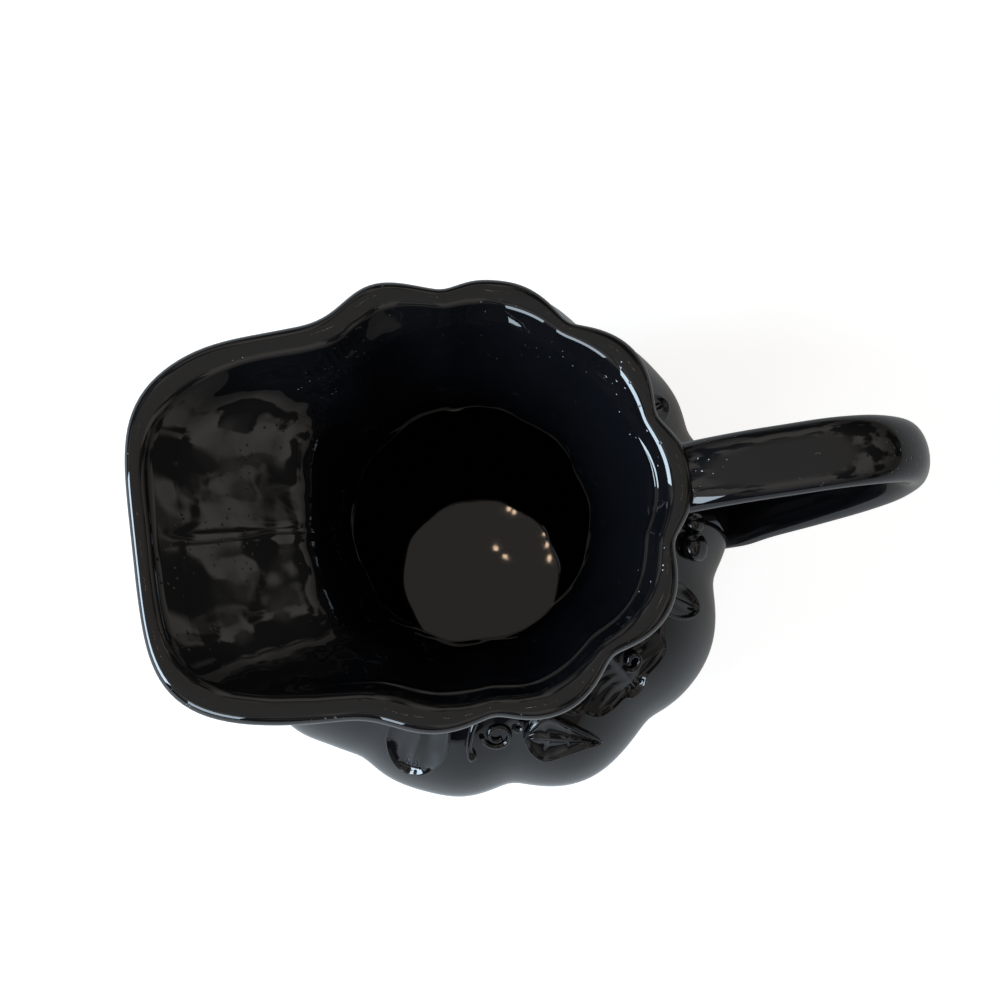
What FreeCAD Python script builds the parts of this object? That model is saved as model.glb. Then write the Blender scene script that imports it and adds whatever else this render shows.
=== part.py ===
import FreeCAD, Part
import math
import os
import Sketcher

# Pumpkin-shaped pitcher in millimetres, +Z up, the handle towards +X and the spout towards -X.
# The origin is the centre of the foot ring, on the surface that the pitcher stands on.
# Belly, neck and rim share one lobed outline, and the shoulder carries leaves, tendrils and buds in relief.
# The glazed forms are skins of flat facets over lobed rings, as the rings change shape from foot to spout.

SIZES = {
    # Heights of the body
    "foot_height": 5.0,
    "widest_height": 62.0,
    "seam_height": 124.0,
    "waist_height": 133.0,
    "rim_height": 190.0,
    # Foot ring under the belly
    "foot_radius": 47.0,
    "foot_width": 7.0,
    "foot_bevel": 1.4,
    # Belly, measured on the crests of the lobes
    "lobe_count": 10,
    "groove_softness_share": 0.22,
    "groove_depth_share": 0.066,
    "base_radius": 53.0,
    "belly_radius": 90.0,
    "seam_radius": 49.0,
    "wall": 5.5,
    "floor": 6.5,
    # Neck and mouth
    "waist_radius": 42.0,
    "throat_wall": 5.2,
    "rim_radius": 61.5,
    "rim_groove_share": 0.08,
    "rim_width": 9.0,
    "rim_round": 2.4,
    "rim_slope_share": 0.03,
    "spout_reach": 90.0,
    "spout_half_width": 53.0,
    "spout_squareness_share": 4.5,
    # Strap handle
    "handle_reach": 128.0,
    "handle_top_height": 191.0,
    "handle_root_height": 66.0,
    "handle_half_width": 9.6,
    "handle_root_half_width": 10.8,
    "handle_half_thickness": 5.4,
    "handle_offset": 0.7,
    "handle_lean": 2.0,
    # Relief on the shoulder
    "leaf_thickness": 2.0,
    "tendril_radius": 1.2,
    "tendril_ring_radius": 5.0,
    "stem_radius": 1.6,
    "bud_radius": 3.9,
    "bud_half_length": 4.9,
    "cap_radius": 3.0,
    "cap_half_length": 3.2,
    # Run of a cutting form past the face that it cuts
    "overrun": 6.0,
}

# Belly profile: height shares from the foot to the widest ring with the radius shares from base to belly,
# then height shares from the widest ring to the seam with the radius shares from seam to belly
LOWER_SHARES = (
    (0.0, 0.0), (0.05, 0.30), (0.14, 0.54), (0.28, 0.745), (0.47, 0.90), (0.72, 0.98), (1.0, 1.0),
)
UPPER_SHARES = (
    (0.20, 0.975), (0.38, 0.885), (0.55, 0.73), (0.70, 0.52), (0.84, 0.29), (0.93, 0.12), (1.0, 0.0),
)

# Mouth profile above the waist: height share, outer and inner radius share, outer and inner spout share
MOUTH_SHARES = (
    (0.0, 0.0, 0.0, 0.0, 0.0),
    (0.20, 0.06, 0.08, 0.03, 0.03),
    (0.40, 0.17, 0.22, 0.10, 0.09),
    (0.58, 0.32, 0.42, 0.24, 0.20),
    (0.74, 0.50, 0.63, 0.54, 0.49),
    (0.86, 0.69, 0.80, 0.77, 0.73),
    (0.94, 0.87, 0.92, 0.91, 0.88),
    (1.0, 1.0, 1.0, 1.0, 1.0),
)
# Spout outline at the waist as shares of the waist radius, inside the round neck so that nothing shows there
SPOUT_START_REACH_SHARE = 0.85
SPOUT_START_WIDTH_SHARE = 0.78
SPOUT_BACK_SHARE = 0.35
# Power of the soft union between the lobed ring and the spout
BLEND_SHARE = 12

# Handle centre line: share of the way out to the reach, from the waist radius on the upper arm and from the
# belly radius on the lower arm, and share of the way up from the lower root to the top.
# The first point lies inside the neck and the last one inside the belly.
UPPER_ARM_SHARES = (
    (-0.022, 0.755), (0.193, 0.885), (0.337, 0.955), (0.507, 0.995), (0.695, 1.0), (0.866, 0.935),
    (0.973, 0.805), (1.0, 0.64),
)
LOWER_ARM_SHARES = ((0.88, 0.46), (0.62, 0.28), (0.33, 0.13), (0.08, 0.02), (-0.18, -0.075))
# Power that makes the strap's section fuller than an ellipse
STRAP_SHARE = 0.8

# Leaf outlines: share of the length along the midrib and share of the half width to the side
PALM_LEAF_SHARES = (
    (0.0, 0.0), (0.02, 0.55), (0.28, 0.97), (0.50, 0.90), (0.56, 0.72), (0.82, 0.66), (0.86, 0.42),
    (0.84, 0.24), (0.97, 0.16), (1.0, 0.0),
)
POINTED_LEAF_SHARES = (
    (0.0, 0.0), (0.10, 0.62), (0.30, 1.0), (0.52, 0.74), (0.75, 0.40), (0.93, 0.14), (1.0, 0.0),
)
ROUND_LEAF_SHARES = (
    (0.0, 0.0), (0.0, 0.62), (0.22, 0.94), (0.50, 1.0), (0.78, 0.78), (0.95, 0.38), (1.0, 0.0),
)

# Leaves of one side: name, outline, angle from the handle in degrees, turn of the tip from straight outwards,
# place of the base as a share of the way down the shoulder from the seam radius to the belly radius,
# and the length and half width as shares of the distance of the base from the axis
LEAVES = (
    ("oval_leaf", ROUND_LEAF_SHARES, 27, 0, 0.265, 0.278, 0.099),
    ("palm_leaf", PALM_LEAF_SHARES, 52, 2, 0.10, 0.381, 0.398),
    ("pointed_leaf", POINTED_LEAF_SHARES, 84, -72, 0.506, 0.361, 0.097),
    ("round_leaf", ROUND_LEAF_SHARES, 112, 3, 0.232, 0.362, 0.172),
)
SIDES = (("near", -1), ("far", 1))

# Tendrils of one side: name, angle from the handle in degrees, place as a share of the way down the shoulder,
# outer and inner radius of the coil as shares of the tendril ring, turns, and whether it lies on a leaf
COILS = (
    ("tendril_ring", 91, 0.396, 1.0, 0.38, 1.35, False),
    ("tendril_curl", 84.4, 0.352, 0.36, 0.26, 0.75, False),
    ("tendril_on_leaf", 47, 0.374, 0.62, 0.30, 0.95, True),
)
# Share of a cord's radius by which its centre stands off the surface
CORD_LIFT_SHARE = 0.35
# Vine stem beside the ring: angle in degrees and share of the way down the shoulder
STEM_SHARES = ((97, 0.254), (98.4, 0.363), (99.0, 0.473), (98.0, 0.561))
# Bud beside the handle: angles in degrees of the nut and of its cap, and their place down the shoulder
NUT_ANGLE = 11.4
CAP_ANGLE = 5.4
BUD_PLACE_SHARE = 0.528
BUD_LIFT_SHARE = 0.45

# Facets: steps around one lobe, around the handle, along it, and around a cord
LOBE_STEPS = 6
STRAP_STEPS = 16
HANDLE_STEPS = 24
CORD_STEPS = 6
COIL_STEPS = 14
BUD_STEPS = 8

document = FreeCAD.newDocument("pitcher")
sheet = document.addObject("Spreadsheet::Sheet", "sizes")
for row, (alias, value) in enumerate(SIZES.items(), start=1):
    sheet.set(f"A{row}", alias)
    sheet.set(f"B{row}", str(value))
    sheet.setAlias(f"B{row}", alias)
document.recompute()


def size(alias):
    """The value of one named size in the sheet."""
    return float(sheet.get(alias))


def between(start, end, share):
    """The value at a share of the way from start to end."""
    return start + (end - start) * share


def lobe(angle):
    """1 on the crest of a lobe and 0 in the groove between two lobes."""
    softness = size("groove_softness_share")
    wave = math.cos(size("lobe_count") / 2 * angle)
    return (math.hypot(wave, softness) - softness) / (math.hypot(1, softness) - softness)


def spout_radius(angle, reach, half_width, back):
    """Distance from the axis to the rounded box that the spout follows in plan."""
    power = size("spout_squareness_share")
    along = math.cos(angle) / (reach if math.cos(angle) < 0 else back)
    across = math.sin(angle) / half_width
    return (abs(along) ** power + abs(across) ** power) ** (-1 / power)


def ring_radius(angle, crest, groove_share, spout):
    """Radius of a lobed ring, joined softly with the spout outline where it has one."""
    lobed = crest * (1 - groove_share * (1 - lobe(angle)))
    if spout is None:
        return lobed
    boxed = spout_radius(angle, *spout)
    return (lobed ** BLEND_SHARE + boxed ** BLEND_SHARE) ** (1 / BLEND_SHARE)


def lobed_ring(height, crest, groove_share, spout=None, slope=0):
    """Points around a lobed outline at a height, on a plane that rises towards the spout by the slope."""
    steps = round(size("lobe_count")) * LOBE_STEPS
    points = []
    for step in range(steps):
        angle = 2 * math.pi * step / steps
        radius = ring_radius(angle, crest, groove_share, spout)
        out = radius * math.cos(angle)
        points.append(FreeCAD.Vector(out, radius * math.sin(angle), height - slope * out))
    return points


def facets(corners):
    """One flat face where four corners lie in a plane, else two triangles."""
    first, second, third, fourth = corners
    normal = (second - first).cross(third - first)
    if abs(normal.normalize().dot(fourth - first)) < Part.Precision.confusion():
        return [Part.Face(Part.makePolygon(corners + corners[:1]))]
    return [Part.Face(Part.makePolygon([first, second, third, first])),
            Part.Face(Part.makePolygon([first, third, fourth, first]))]


def skin(name, rings):
    """A closed solid of flat facets over rings of points, with a flat face at each end."""
    faces = [Part.Face(Part.makePolygon(ring + ring[:1])) for ring in (rings[0], rings[-1])]
    for lower, upper in zip(rings, rings[1:]):
        for left in range(len(lower)):
            right = (left + 1) % len(lower)
            faces += facets([lower[left], lower[right], upper[right], upper[left]])
    solid = Part.Solid(Part.Shell(faces))
    form = document.addObject("Part::Feature", name)
    form.Shape = solid if solid.Volume > 0 else solid.reversed()
    return form


def cut(name, base, *tools):
    """The base without the tools."""
    for number, tool in enumerate(tools, start=1):
        rest = document.addObject("Part::Cut", name if number == len(tools) else f"{name}_step_{number}")
        rest.Base = base
        rest.Tool = tool
        base = rest
    return base


def common(name, *forms):
    """What the forms share."""
    shared = document.addObject("Part::MultiCommon", name)
    shared.Shapes = list(forms)
    return shared


# Belly

def belly_levels(inset, bottom):
    """Height and crest radius of each ring of the belly, for a surface set in by the inset."""
    base = size("base_radius") - inset
    belly = size("belly_radius") - inset
    seam = size("seam_radius") - min(inset, size("throat_wall"))
    levels = []
    for height_share, radius_share in LOWER_SHARES:
        height = between(bottom, size("widest_height"), height_share)
        levels.append((height, between(base, belly, radius_share)))
    for height_share, radius_share in UPPER_SHARES:
        height = between(size("widest_height"), size("seam_height"), height_share)
        levels.append((height, between(seam, belly, radius_share)))
    return levels


def belly_skin(name, inset, bottom):
    """The lobed belly as a full solid, set in from the outside by the inset."""
    share = size("groove_depth_share")
    levels = belly_levels(inset, bottom)
    return skin(name, [lobed_ring(height, crest, share) for height, crest in levels])


belly_form = belly_skin("belly_form", 0, size("foot_height"))
belly_hollow = belly_skin("belly_hollow", size("wall"), size("foot_height") + size("floor"))
belly = cut("belly", belly_form, belly_hollow)


# Foot ring

def build_foot_ring():
    """Bevelled band turned about the axis, with its flat face on the table."""
    body = document.addObject("PartDesign::Body", "foot_ring")
    sketch = body.newObject("Sketcher::SketchObject", "foot_profile")
    plane = next(item for item in body.Origin.OriginFeatures if item.Role == "XZ_Plane")
    sketch.AttachmentSupport = (plane, [""])
    sketch.MapMode = "FlatFace"
    outer = size("foot_radius")
    inner = outer - size("foot_width")
    top = size("foot_height")
    corners = ((inner, 0), (outer, 0), (outer, top), (inner, top))
    for start, end in zip(corners, corners[1:] + corners[:1]):
        sketch.addGeometry(Part.LineSegment(FreeCAD.Vector(*start, 0), FreeCAD.Vector(*end, 0)), False)
    for side in range(4):
        sketch.addConstraint(Sketcher.Constraint("Coincident", side, 2, (side + 1) % 4, 1))
    for side, kind in enumerate(("Horizontal", "Vertical", "Horizontal", "Vertical")):
        sketch.addConstraint(Sketcher.Constraint(kind, side))
    sketch.addConstraint(Sketcher.Constraint("PointOnObject", 0, 1, -1))
    dimensions = (
        ("outer", Sketcher.Constraint("DistanceX", -1, 1, 0, 2, outer), "sizes.foot_radius"),
        ("width", Sketcher.Constraint("DistanceX", 0, 1, 0, 2, outer - inner), "sizes.foot_width"),
        ("height", Sketcher.Constraint("DistanceY", 1, 1, 1, 2, top), "sizes.foot_height"),
    )
    for name, constraint, expression in dimensions:
        sketch.renameConstraint(sketch.addConstraint(constraint), name)
        sketch.setExpression(f"Constraints.{name}", expression)
    turned = body.newObject("PartDesign::Revolution", "foot_turned")
    turned.Profile = sketch
    turned.ReferenceAxis = (sketch, ["V_Axis"])
    turned.Angle = 360
    document.recompute()
    lower_edges = [
        f"Edge{number}" for number, edge in enumerate(turned.Shape.Edges, start=1)
        if edge.BoundBox.ZMax < top / 2
    ]
    bevel = body.newObject("PartDesign::Chamfer", "foot_bevel")
    bevel.Base = (turned, lower_edges)
    bevel.setExpression("Size", "sizes.foot_bevel")
    body.Tip = bevel
    return body


foot_ring = build_foot_ring()


# Neck and spout

def mouth_rings(inside):
    """Rings of the neck and mouth from the seam to the rim; the inner ones run on past the rim."""
    seam = size("seam_radius") - (min(size("wall"), size("throat_wall")) if inside else 0)
    waist = size("waist_radius") - (size("throat_wall") if inside else 0)
    inset = size("rim_width") if inside else 0
    share = size("groove_depth_share")
    middle = between(size("seam_height"), size("waist_height"), 1 / 2)
    rings = [
        lobed_ring(size("seam_height"), seam, share),
        lobed_ring(middle, between(waist, seam, 1 / 3), share),
    ]
    back = waist * SPOUT_BACK_SHARE

    def mouth_ring(height_share, radius_share, spout_share, trim=0, lift=0):
        height = between(size("waist_height"), size("rim_height"), height_share) + lift
        crest = between(waist, size("rim_radius") - inset, radius_share) - trim
        reach = between(waist * SPOUT_START_REACH_SHARE, size("spout_reach") - inset, spout_share) - trim
        half_width = between(waist * SPOUT_START_WIDTH_SHARE, size("spout_half_width") - inset, spout_share)
        groove_share = between(share, size("rim_groove_share"), radius_share)
        slope = size("rim_slope_share") * height_share
        return lobed_ring(height, crest, groove_share, (reach, half_width - trim, back), slope)

    for height_share, outer, inner, spout_outer, spout_inner in MOUTH_SHARES[:-1]:
        shares = (inner, spout_inner) if inside else (outer, spout_outer)
        rings.append(mouth_ring(height_share, *shares))
    edge = size("rim_round")
    if inside:
        rings.append(mouth_ring(1, 1, 1, 0, -edge / 2))
        rings.append(mouth_ring(1, 1, 1, -edge, size("overrun") - edge / 2))
    else:
        rings.append(mouth_ring(1, 1, 1, 0, -edge))
        rings.append(mouth_ring(1, 1, 1, edge / 4, -edge / 3))
        rings.append(mouth_ring(1, 1, 1, edge))
    return rings


mouth_form = skin("mouth_form", mouth_rings(False))
mouth_hollow = skin("mouth_hollow", mouth_rings(True))
mouth = cut("neck_and_spout", mouth_form, mouth_hollow)


# Handle

def fuller(share):
    """A share of a half axis, moved outwards so that the section is fuller than an ellipse."""
    return math.copysign(abs(share) ** STRAP_SHARE, share)


def handle_rings():
    """Strap sections along a smooth line from the rim out, over and down to the belly."""
    arms = [("waist_radius", *point) for point in UPPER_ARM_SHARES]
    arms += [("belly_radius", *point) for point in LOWER_ARM_SHARES]
    line = []
    for start, out_share, up_share in arms:
        out = between(size(start), size("handle_reach"), out_share)
        across = -size("handle_offset") - size("handle_lean") * (1 - up_share)
        height = between(size("handle_root_height"), size("handle_top_height"), up_share)
        line.append(FreeCAD.Vector(out, across, height))
    curve = Part.BSplineCurve()
    curve.interpolate(Points=line)
    rings = []
    for step in range(HANDLE_STEPS + 1):
        share = step / HANDLE_STEPS
        parameter = between(curve.FirstParameter, curve.LastParameter, share)
        centre = curve.value(parameter)
        along = FreeCAD.Vector(*curve.tangent(parameter)[0])
        side = FreeCAD.Vector(0, 1, 0)
        thick = side.cross(along).normalize()
        side = along.cross(thick).normalize()
        half_width = between(size("handle_half_width"), size("handle_root_half_width"), share ** 3)
        ring = []
        for turn in range(STRAP_STEPS):
            angle = 2 * math.pi * (turn + 1 / 2) / STRAP_STEPS
            across = half_width * fuller(math.cos(angle))
            up = size("handle_half_thickness") * fuller(math.sin(angle))
            ring.append(centre + side * across + thick * up)
        rings.append(ring)
    return rings


handle_form = skin("handle_form", handle_rings())
handle = cut("handle", handle_form, mouth_form, belly_form)


# Places on the shoulder

def shoulder_radius(share):
    """Distance from the axis at a share of the way down the shoulder."""
    return between(size("seam_radius"), size("belly_radius"), share)


def shoulder_height(angle, radius):
    """Height of the belly's outer surface above the widest ring, at an angle and a distance from the axis."""
    scale = 1 - size("groove_depth_share") * (1 - lobe(angle))
    levels = [(height, crest * scale) for height, crest in belly_levels(0, size("foot_height"))]
    upper = [level for level in levels if level[0] >= size("widest_height")]
    for (low, wide), (high, narrow) in zip(upper, upper[1:]):
        if narrow <= radius <= wide:
            return between(low, high, (wide - radius) / (wide - narrow))
    return upper[-1][0]


def on_shoulder(angle, radius):
    """Point of the belly's outer surface at an angle and a distance from the axis."""
    return FreeCAD.Vector(radius * math.cos(angle), radius * math.sin(angle), shoulder_height(angle, radius))


def shoulder_normal(angle, radius, reach):
    """Outward direction of the shoulder, taken across a small reach."""
    turn = reach / radius
    along = on_shoulder(angle + turn, radius) - on_shoulder(angle - turn, radius)
    down = on_shoulder(angle, radius + reach) - on_shoulder(angle, radius - reach)
    return down.cross(along).normalize()


# Leaves: an outline seen from above, cut out of a layer over the shoulder

def leaf_ring(outline, angle, turn, base, length, half_width, height):
    """Outline of a leaf at a height, with its midrib turned from straight outwards."""
    curve = Part.BSplineCurve()
    curve.interpolate(Points=[FreeCAD.Vector(length * along, half_width * side) for along, side in outline])
    edge = curve.discretize(2 * len(outline))
    loop = edge + [FreeCAD.Vector(point.x, -point.y) for point in edge[-2:0:-1]]
    ring = []
    for point in loop:
        x = base * math.cos(angle) + point.x * math.cos(angle + turn) - point.y * math.sin(angle + turn)
        y = base * math.sin(angle) + point.x * math.sin(angle + turn) + point.y * math.cos(angle + turn)
        ring.append(FreeCAD.Vector(x, y, height))
    return ring


layer_form = belly_skin("layer_form", -size("leaf_thickness"), size("foot_height"))
leaf_layer = cut("leaf_layer", layer_form, belly_form)
leaves = []
for side_name, side in SIDES:
    for name, outline, degrees, turn, base_share, length_share, width_share in LEAVES:
        base = shoulder_radius(base_share)
        shape = (outline, side * math.radians(degrees), side * math.radians(turn),
                 base, length_share * base, width_share * base)
        blank = skin(f"{name}_{side_name}_blank", [
            leaf_ring(*shape, size("widest_height")),
            leaf_ring(*shape, size("seam_height") + size("overrun")),
        ])
        leaves.append(common(f"{name}_{side_name}", blank, leaf_layer))


# Tendrils, stems and buds: cords and rounded bodies bedded in the shoulder

def cord_rings(centres, normal, radii):
    """Rings of a cord along its centres; the normal is the way out of the surface that it lies on."""
    rings = []
    for number, centre in enumerate(centres):
        before = centres[max(number - 1, 0)]
        after = centres[min(number + 1, len(centres) - 1)]
        side = (after - before).cross(normal).normalize()
        up = side.cross(after - before).normalize()
        ring = []
        for step in range(CORD_STEPS):
            angle = 2 * math.pi * (step + 1 / 2) / CORD_STEPS
            ring.append(centre + (side * math.cos(angle) + up * math.sin(angle)) * radii[number])
        rings.append(ring)
    return rings


def coil_rings(angle, place, outer, inner, turns, base_lift, mirror):
    """Rings of a flat coil that winds in on the shoulder about a point."""
    radius = size("tendril_radius")
    normal = shoulder_normal(angle, place, outer)
    steps = round(COIL_STEPS * turns)
    centres = []
    radii = []
    for step in range(steps + 1):
        share = step / steps
        reach = between(outer, inner, share)
        turn = 2 * math.pi * turns * share
        sideways = mirror * reach * math.cos(turn) / place
        point = on_shoulder(angle + sideways, place + reach * math.sin(turn) * normal.z)
        centres.append(point + normal * (base_lift + CORD_LIFT_SHARE * radius))
        radii.append(between(radius, radius * 3 / 4, share))
    return cord_rings(centres, normal, radii)


def stem_rings(side):
    """Rings of the short vine stem that comes out from under the neck and ends in a knob."""
    radius = size("stem_radius")
    points = [(side * math.radians(degrees), shoulder_radius(share)) for degrees, share in STEM_SHARES]
    normal = shoulder_normal(*points[1], radius)
    centres = [on_shoulder(*point) + normal * (CORD_LIFT_SHARE * radius) for point in points]
    return cord_rings(centres, normal, [radius * 4 / 5] * (len(points) - 1) + [radius])


def bud_rings(angle, half_length, radius):
    """Rings of a rounded body that lies across the shoulder beside the handle."""
    place = shoulder_radius(BUD_PLACE_SHARE)
    normal = shoulder_normal(angle, place, radius)
    along = FreeCAD.Vector(-math.sin(angle), math.cos(angle), 0)
    centre = on_shoulder(angle, place) + normal * (BUD_LIFT_SHARE * radius)
    rings = []
    for step in range(BUD_STEPS):
        turn = math.pi * (step + 1 / 2) / BUD_STEPS
        middle = centre + along * (half_length * math.cos(turn))
        side = normal.cross(along)
        ring = []
        for number in range(BUD_STEPS):
            around = 2 * math.pi * (number + 1 / 2) / BUD_STEPS
            spoke = side * math.cos(around) + normal * math.sin(around)
            ring.append(middle + spoke * (radius * math.sin(turn)))
        rings.append(ring)
    return rings


relief = []
for side_name, side in SIDES:
    for name, degrees, place_share, outer_share, inner_share, turns, on_leaf in COILS:
        ring_size = size("tendril_ring_radius")
        form = skin(f"{name}_{side_name}_form", coil_rings(
            side * math.radians(degrees), shoulder_radius(place_share), outer_share * ring_size,
            inner_share * ring_size, turns, size("leaf_thickness") if on_leaf else 0, side))
        relief.append(cut(f"{name}_{side_name}", form, layer_form if on_leaf else belly_form))
    stem_form = skin(f"vine_stem_{side_name}_form", stem_rings(side))
    relief.append(cut(f"vine_stem_{side_name}", stem_form, belly_form))
    nut_rings = bud_rings(side * math.radians(NUT_ANGLE), size("bud_half_length"), size("bud_radius"))
    nut_form = skin(f"bud_{side_name}_form", nut_rings)
    relief.append(cut(f"bud_{side_name}", nut_form, belly_form))
    cap_rings = bud_rings(side * math.radians(CAP_ANGLE), size("cap_half_length"), size("cap_radius"))
    cap_form = skin(f"bud_cap_{side_name}_form", cap_rings)
    relief.append(cut(f"bud_cap_{side_name}", cap_form, nut_form, belly_form))


# Check every object, then write each piece

pieces = [belly, foot_ring, mouth, handle] + leaves + relief
document.recompute()
for item in document.Objects:
    if "Invalid" in item.State or "Error" in item.State:
        raise RuntimeError(f"{item.Label} failed: {item.State}")
for piece in pieces:
    if piece.Shape.isNull() or not piece.Shape.isValid():
        raise RuntimeError(f"{piece.Label} has no valid shape")
    if len(piece.Shape.Solids) != 1:
        raise RuntimeError(f"{piece.Label} has {len(piece.Shape.Solids)} solids")
os.makedirs("parts", exist_ok=True)
for piece in pieces:
    piece.Shape.exportStep(f"parts/{piece.Label}.step")
    print(piece.Label, round(piece.Shape.Volume), "cubic mm")
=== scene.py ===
"""Finish and fine relief of a black glazed pumpkin pitcher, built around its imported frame.

Lengths are in metres. The pitcher stands on its foot ring, the handle towards +X and the spout towards -X.
"""

import logging
import math
from collections.abc import Iterable, Sequence
from dataclasses import dataclass, fields, replace
from enum import Enum

import bpy
from mathutils import Matrix, Vector


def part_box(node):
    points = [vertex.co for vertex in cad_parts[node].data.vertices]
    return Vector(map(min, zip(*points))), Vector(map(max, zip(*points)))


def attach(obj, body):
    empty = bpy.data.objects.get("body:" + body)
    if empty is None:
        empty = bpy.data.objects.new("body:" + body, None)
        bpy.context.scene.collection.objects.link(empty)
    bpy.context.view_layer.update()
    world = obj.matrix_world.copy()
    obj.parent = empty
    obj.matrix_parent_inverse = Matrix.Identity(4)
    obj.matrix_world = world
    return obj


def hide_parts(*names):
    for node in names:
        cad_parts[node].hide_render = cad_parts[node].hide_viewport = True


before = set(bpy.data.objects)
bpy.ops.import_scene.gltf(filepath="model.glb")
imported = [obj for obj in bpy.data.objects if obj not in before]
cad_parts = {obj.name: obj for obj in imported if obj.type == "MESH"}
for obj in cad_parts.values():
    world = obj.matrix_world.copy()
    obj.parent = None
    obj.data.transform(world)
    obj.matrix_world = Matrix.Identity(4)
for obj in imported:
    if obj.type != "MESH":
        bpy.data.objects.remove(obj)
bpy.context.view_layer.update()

LOG = logging.getLogger("pitcher")
MM = 0.001
TINY = 0.001 * MM
TAU = 2 * math.pi
WHITE = (1.0, 1.0, 1.0, 1.0)

Piece = bpy.types.Object
Finish = bpy.types.Material
Tree = bpy.types.NodeTree
Socket = bpy.types.NodeSocket


class Side(Enum):
    """The two halves of the shoulder, by the sign of Y."""

    NEAR = -1
    FAR = 1


def add(tree: Tree, kind: str, links: dict | None = None, **settings) -> bpy.types.Node:
    """Adds a node with its settings and links.

    Args:
        tree: Node tree that gets the node.
        kind: Type name of the node.
        links: For each input, by name or number, an output or a term to link or a plain value.
        settings: Properties of the node itself.

    Returns:
        The new node.
    """
    node = tree.nodes.new(kind)
    for name, value in settings.items():
        setattr(node, name, value)
    for socket, value in (links or {}).items():
        value = value.socket if isinstance(value, Term) else value
        if isinstance(value, Socket):
            tree.links.new(value, node.inputs[socket])
        else:
            node.inputs[socket].default_value = value
    return node


def empty_tree(owner: Finish | bpy.types.World) -> Tree:
    """Gives a new material or world an empty node tree.

    Args:
        owner: The material or world.

    Returns:
        Its node tree.
    """
    owner.use_nodes = True
    owner.node_tree.nodes.clear()
    return owner.node_tree


def linear(colour: str) -> tuple[float, float, float, float]:
    """Turns an sRGB hex colour into linear values.

    Args:
        colour: Six hex digits after a hash sign.

    Returns:
        Linear red, green and blue, and an alpha of 1.
    """
    shares = (int(colour[place:place + 2], 16) / 255 for place in (1, 3, 5))
    return (*(s / 12.92 if s <= 0.04045 else ((s + 0.055) / 1.055) ** 2.4 for s in shares), 1.0)


def between(start: float, end: float, share: float) -> float:
    """The value at a share of the way from start to end."""
    return start + (end - start) * share


def bell(distance: float) -> float:
    """Falls from 1 at no distance to nothing on both sides."""
    return math.exp(-distance ** 2)


def monotone(knots: Sequence[float], values: Sequence[float], places: Sequence[float]) -> list[float]:
    """Interpolates smoothly without rising past the given values.

    Args:
        knots: Increasing places of the given values.
        values: The given values.
        places: Increasing places to interpolate at.

    Returns:
        One value for each place.
    """
    widths = [after - before for before, after in zip(knots, knots[1:])]
    rises = [(after - before) / width for before, after, width in zip(values, values[1:], widths)]
    slopes = [rises[0]]
    for before, after, left, right in zip(rises, rises[1:], widths, widths[1:]):
        first = 2 * right + left
        second = right + 2 * left
        slopes.append((first + second) / (first / before + second / after) if before * after > 0 else 0.0)
    slopes.append(rises[-1])
    found = []
    piece = 0
    for place in places:
        while piece < len(widths) - 1 and place > knots[piece + 1]:
            piece += 1
        width = widths[piece]
        share = (place - knots[piece]) / width
        rest = 1 - share
        found.append(values[piece] * rest * rest * (1 + 2 * share)
                     + values[piece + 1] * share * share * (3 - 2 * share)
                     + width * share * rest * (slopes[piece] * rest - slopes[piece + 1] * share))
    return found


def make_object(name: str, points: Iterable, faces: Iterable = (), edges: Iterable = (),
                attributes: dict[str, Sequence[float]] | None = None) -> Piece:
    """Makes an object at the origin with a mesh and its point attributes.

    Args:
        name: Name of the object and its mesh.
        points: Places of the vertices.
        faces: Vertex numbers of each face.
        edges: Vertex numbers of each loose edge.
        attributes: One value per vertex for each named attribute.

    Returns:
        The new object, linked to the scene.
    """
    mesh = bpy.data.meshes.new(name)
    mesh.from_pydata([tuple(point) for point in points], list(edges), list(faces))
    for title, values in (attributes or {}).items():
        mesh.attributes.new(title, "FLOAT", "POINT").data.foreach_set("value", values)
    return link(name, mesh)


def link(name: str, data: bpy.types.ID) -> Piece:
    """Makes an object and links it to the scene.

    Args:
        name: Name of the object.
        data: Its mesh, curve, lamp or camera.

    Returns:
        The new object at the origin.
    """
    piece = bpy.data.objects.new(name, data)
    bpy.context.scene.collection.objects.link(piece)
    return piece


def grid_faces(rows: int, columns: int, turned: bool = False) -> list[tuple[int, ...]]:
    """Faces of a tube of rows, each a closed ring of points.

    Args:
        rows: Number of rings.
        columns: Number of points in each ring.
        turned: True where the faces look the other way.

    Returns:
        The vertex numbers of each face.
    """
    faces = []
    for below in range(0, (rows - 1) * columns, columns):
        above = below + columns
        for column in range(columns):
            after = (column + 1) % columns
            face = (below + column, below + after, above + after, above + column)
            faces.append(face[::-1] if turned else face)
    return faces


def settle(piece: Piece) -> Piece:
    """Turns what the modifiers make into the piece's own plain mesh with smooth faces.

    Args:
        piece: Object whose modifiers are finished.

    Returns:
        The same object, without modifiers.
    """
    evaluated = piece.evaluated_get(bpy.context.evaluated_depsgraph_get())
    mesh = bpy.data.meshes.new_from_object(evaluated)
    piece.modifiers.clear()
    piece.data = mesh
    mesh.polygons.foreach_set("use_smooth", [True] * len(mesh.polygons))
    mesh.update()
    return piece


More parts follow.
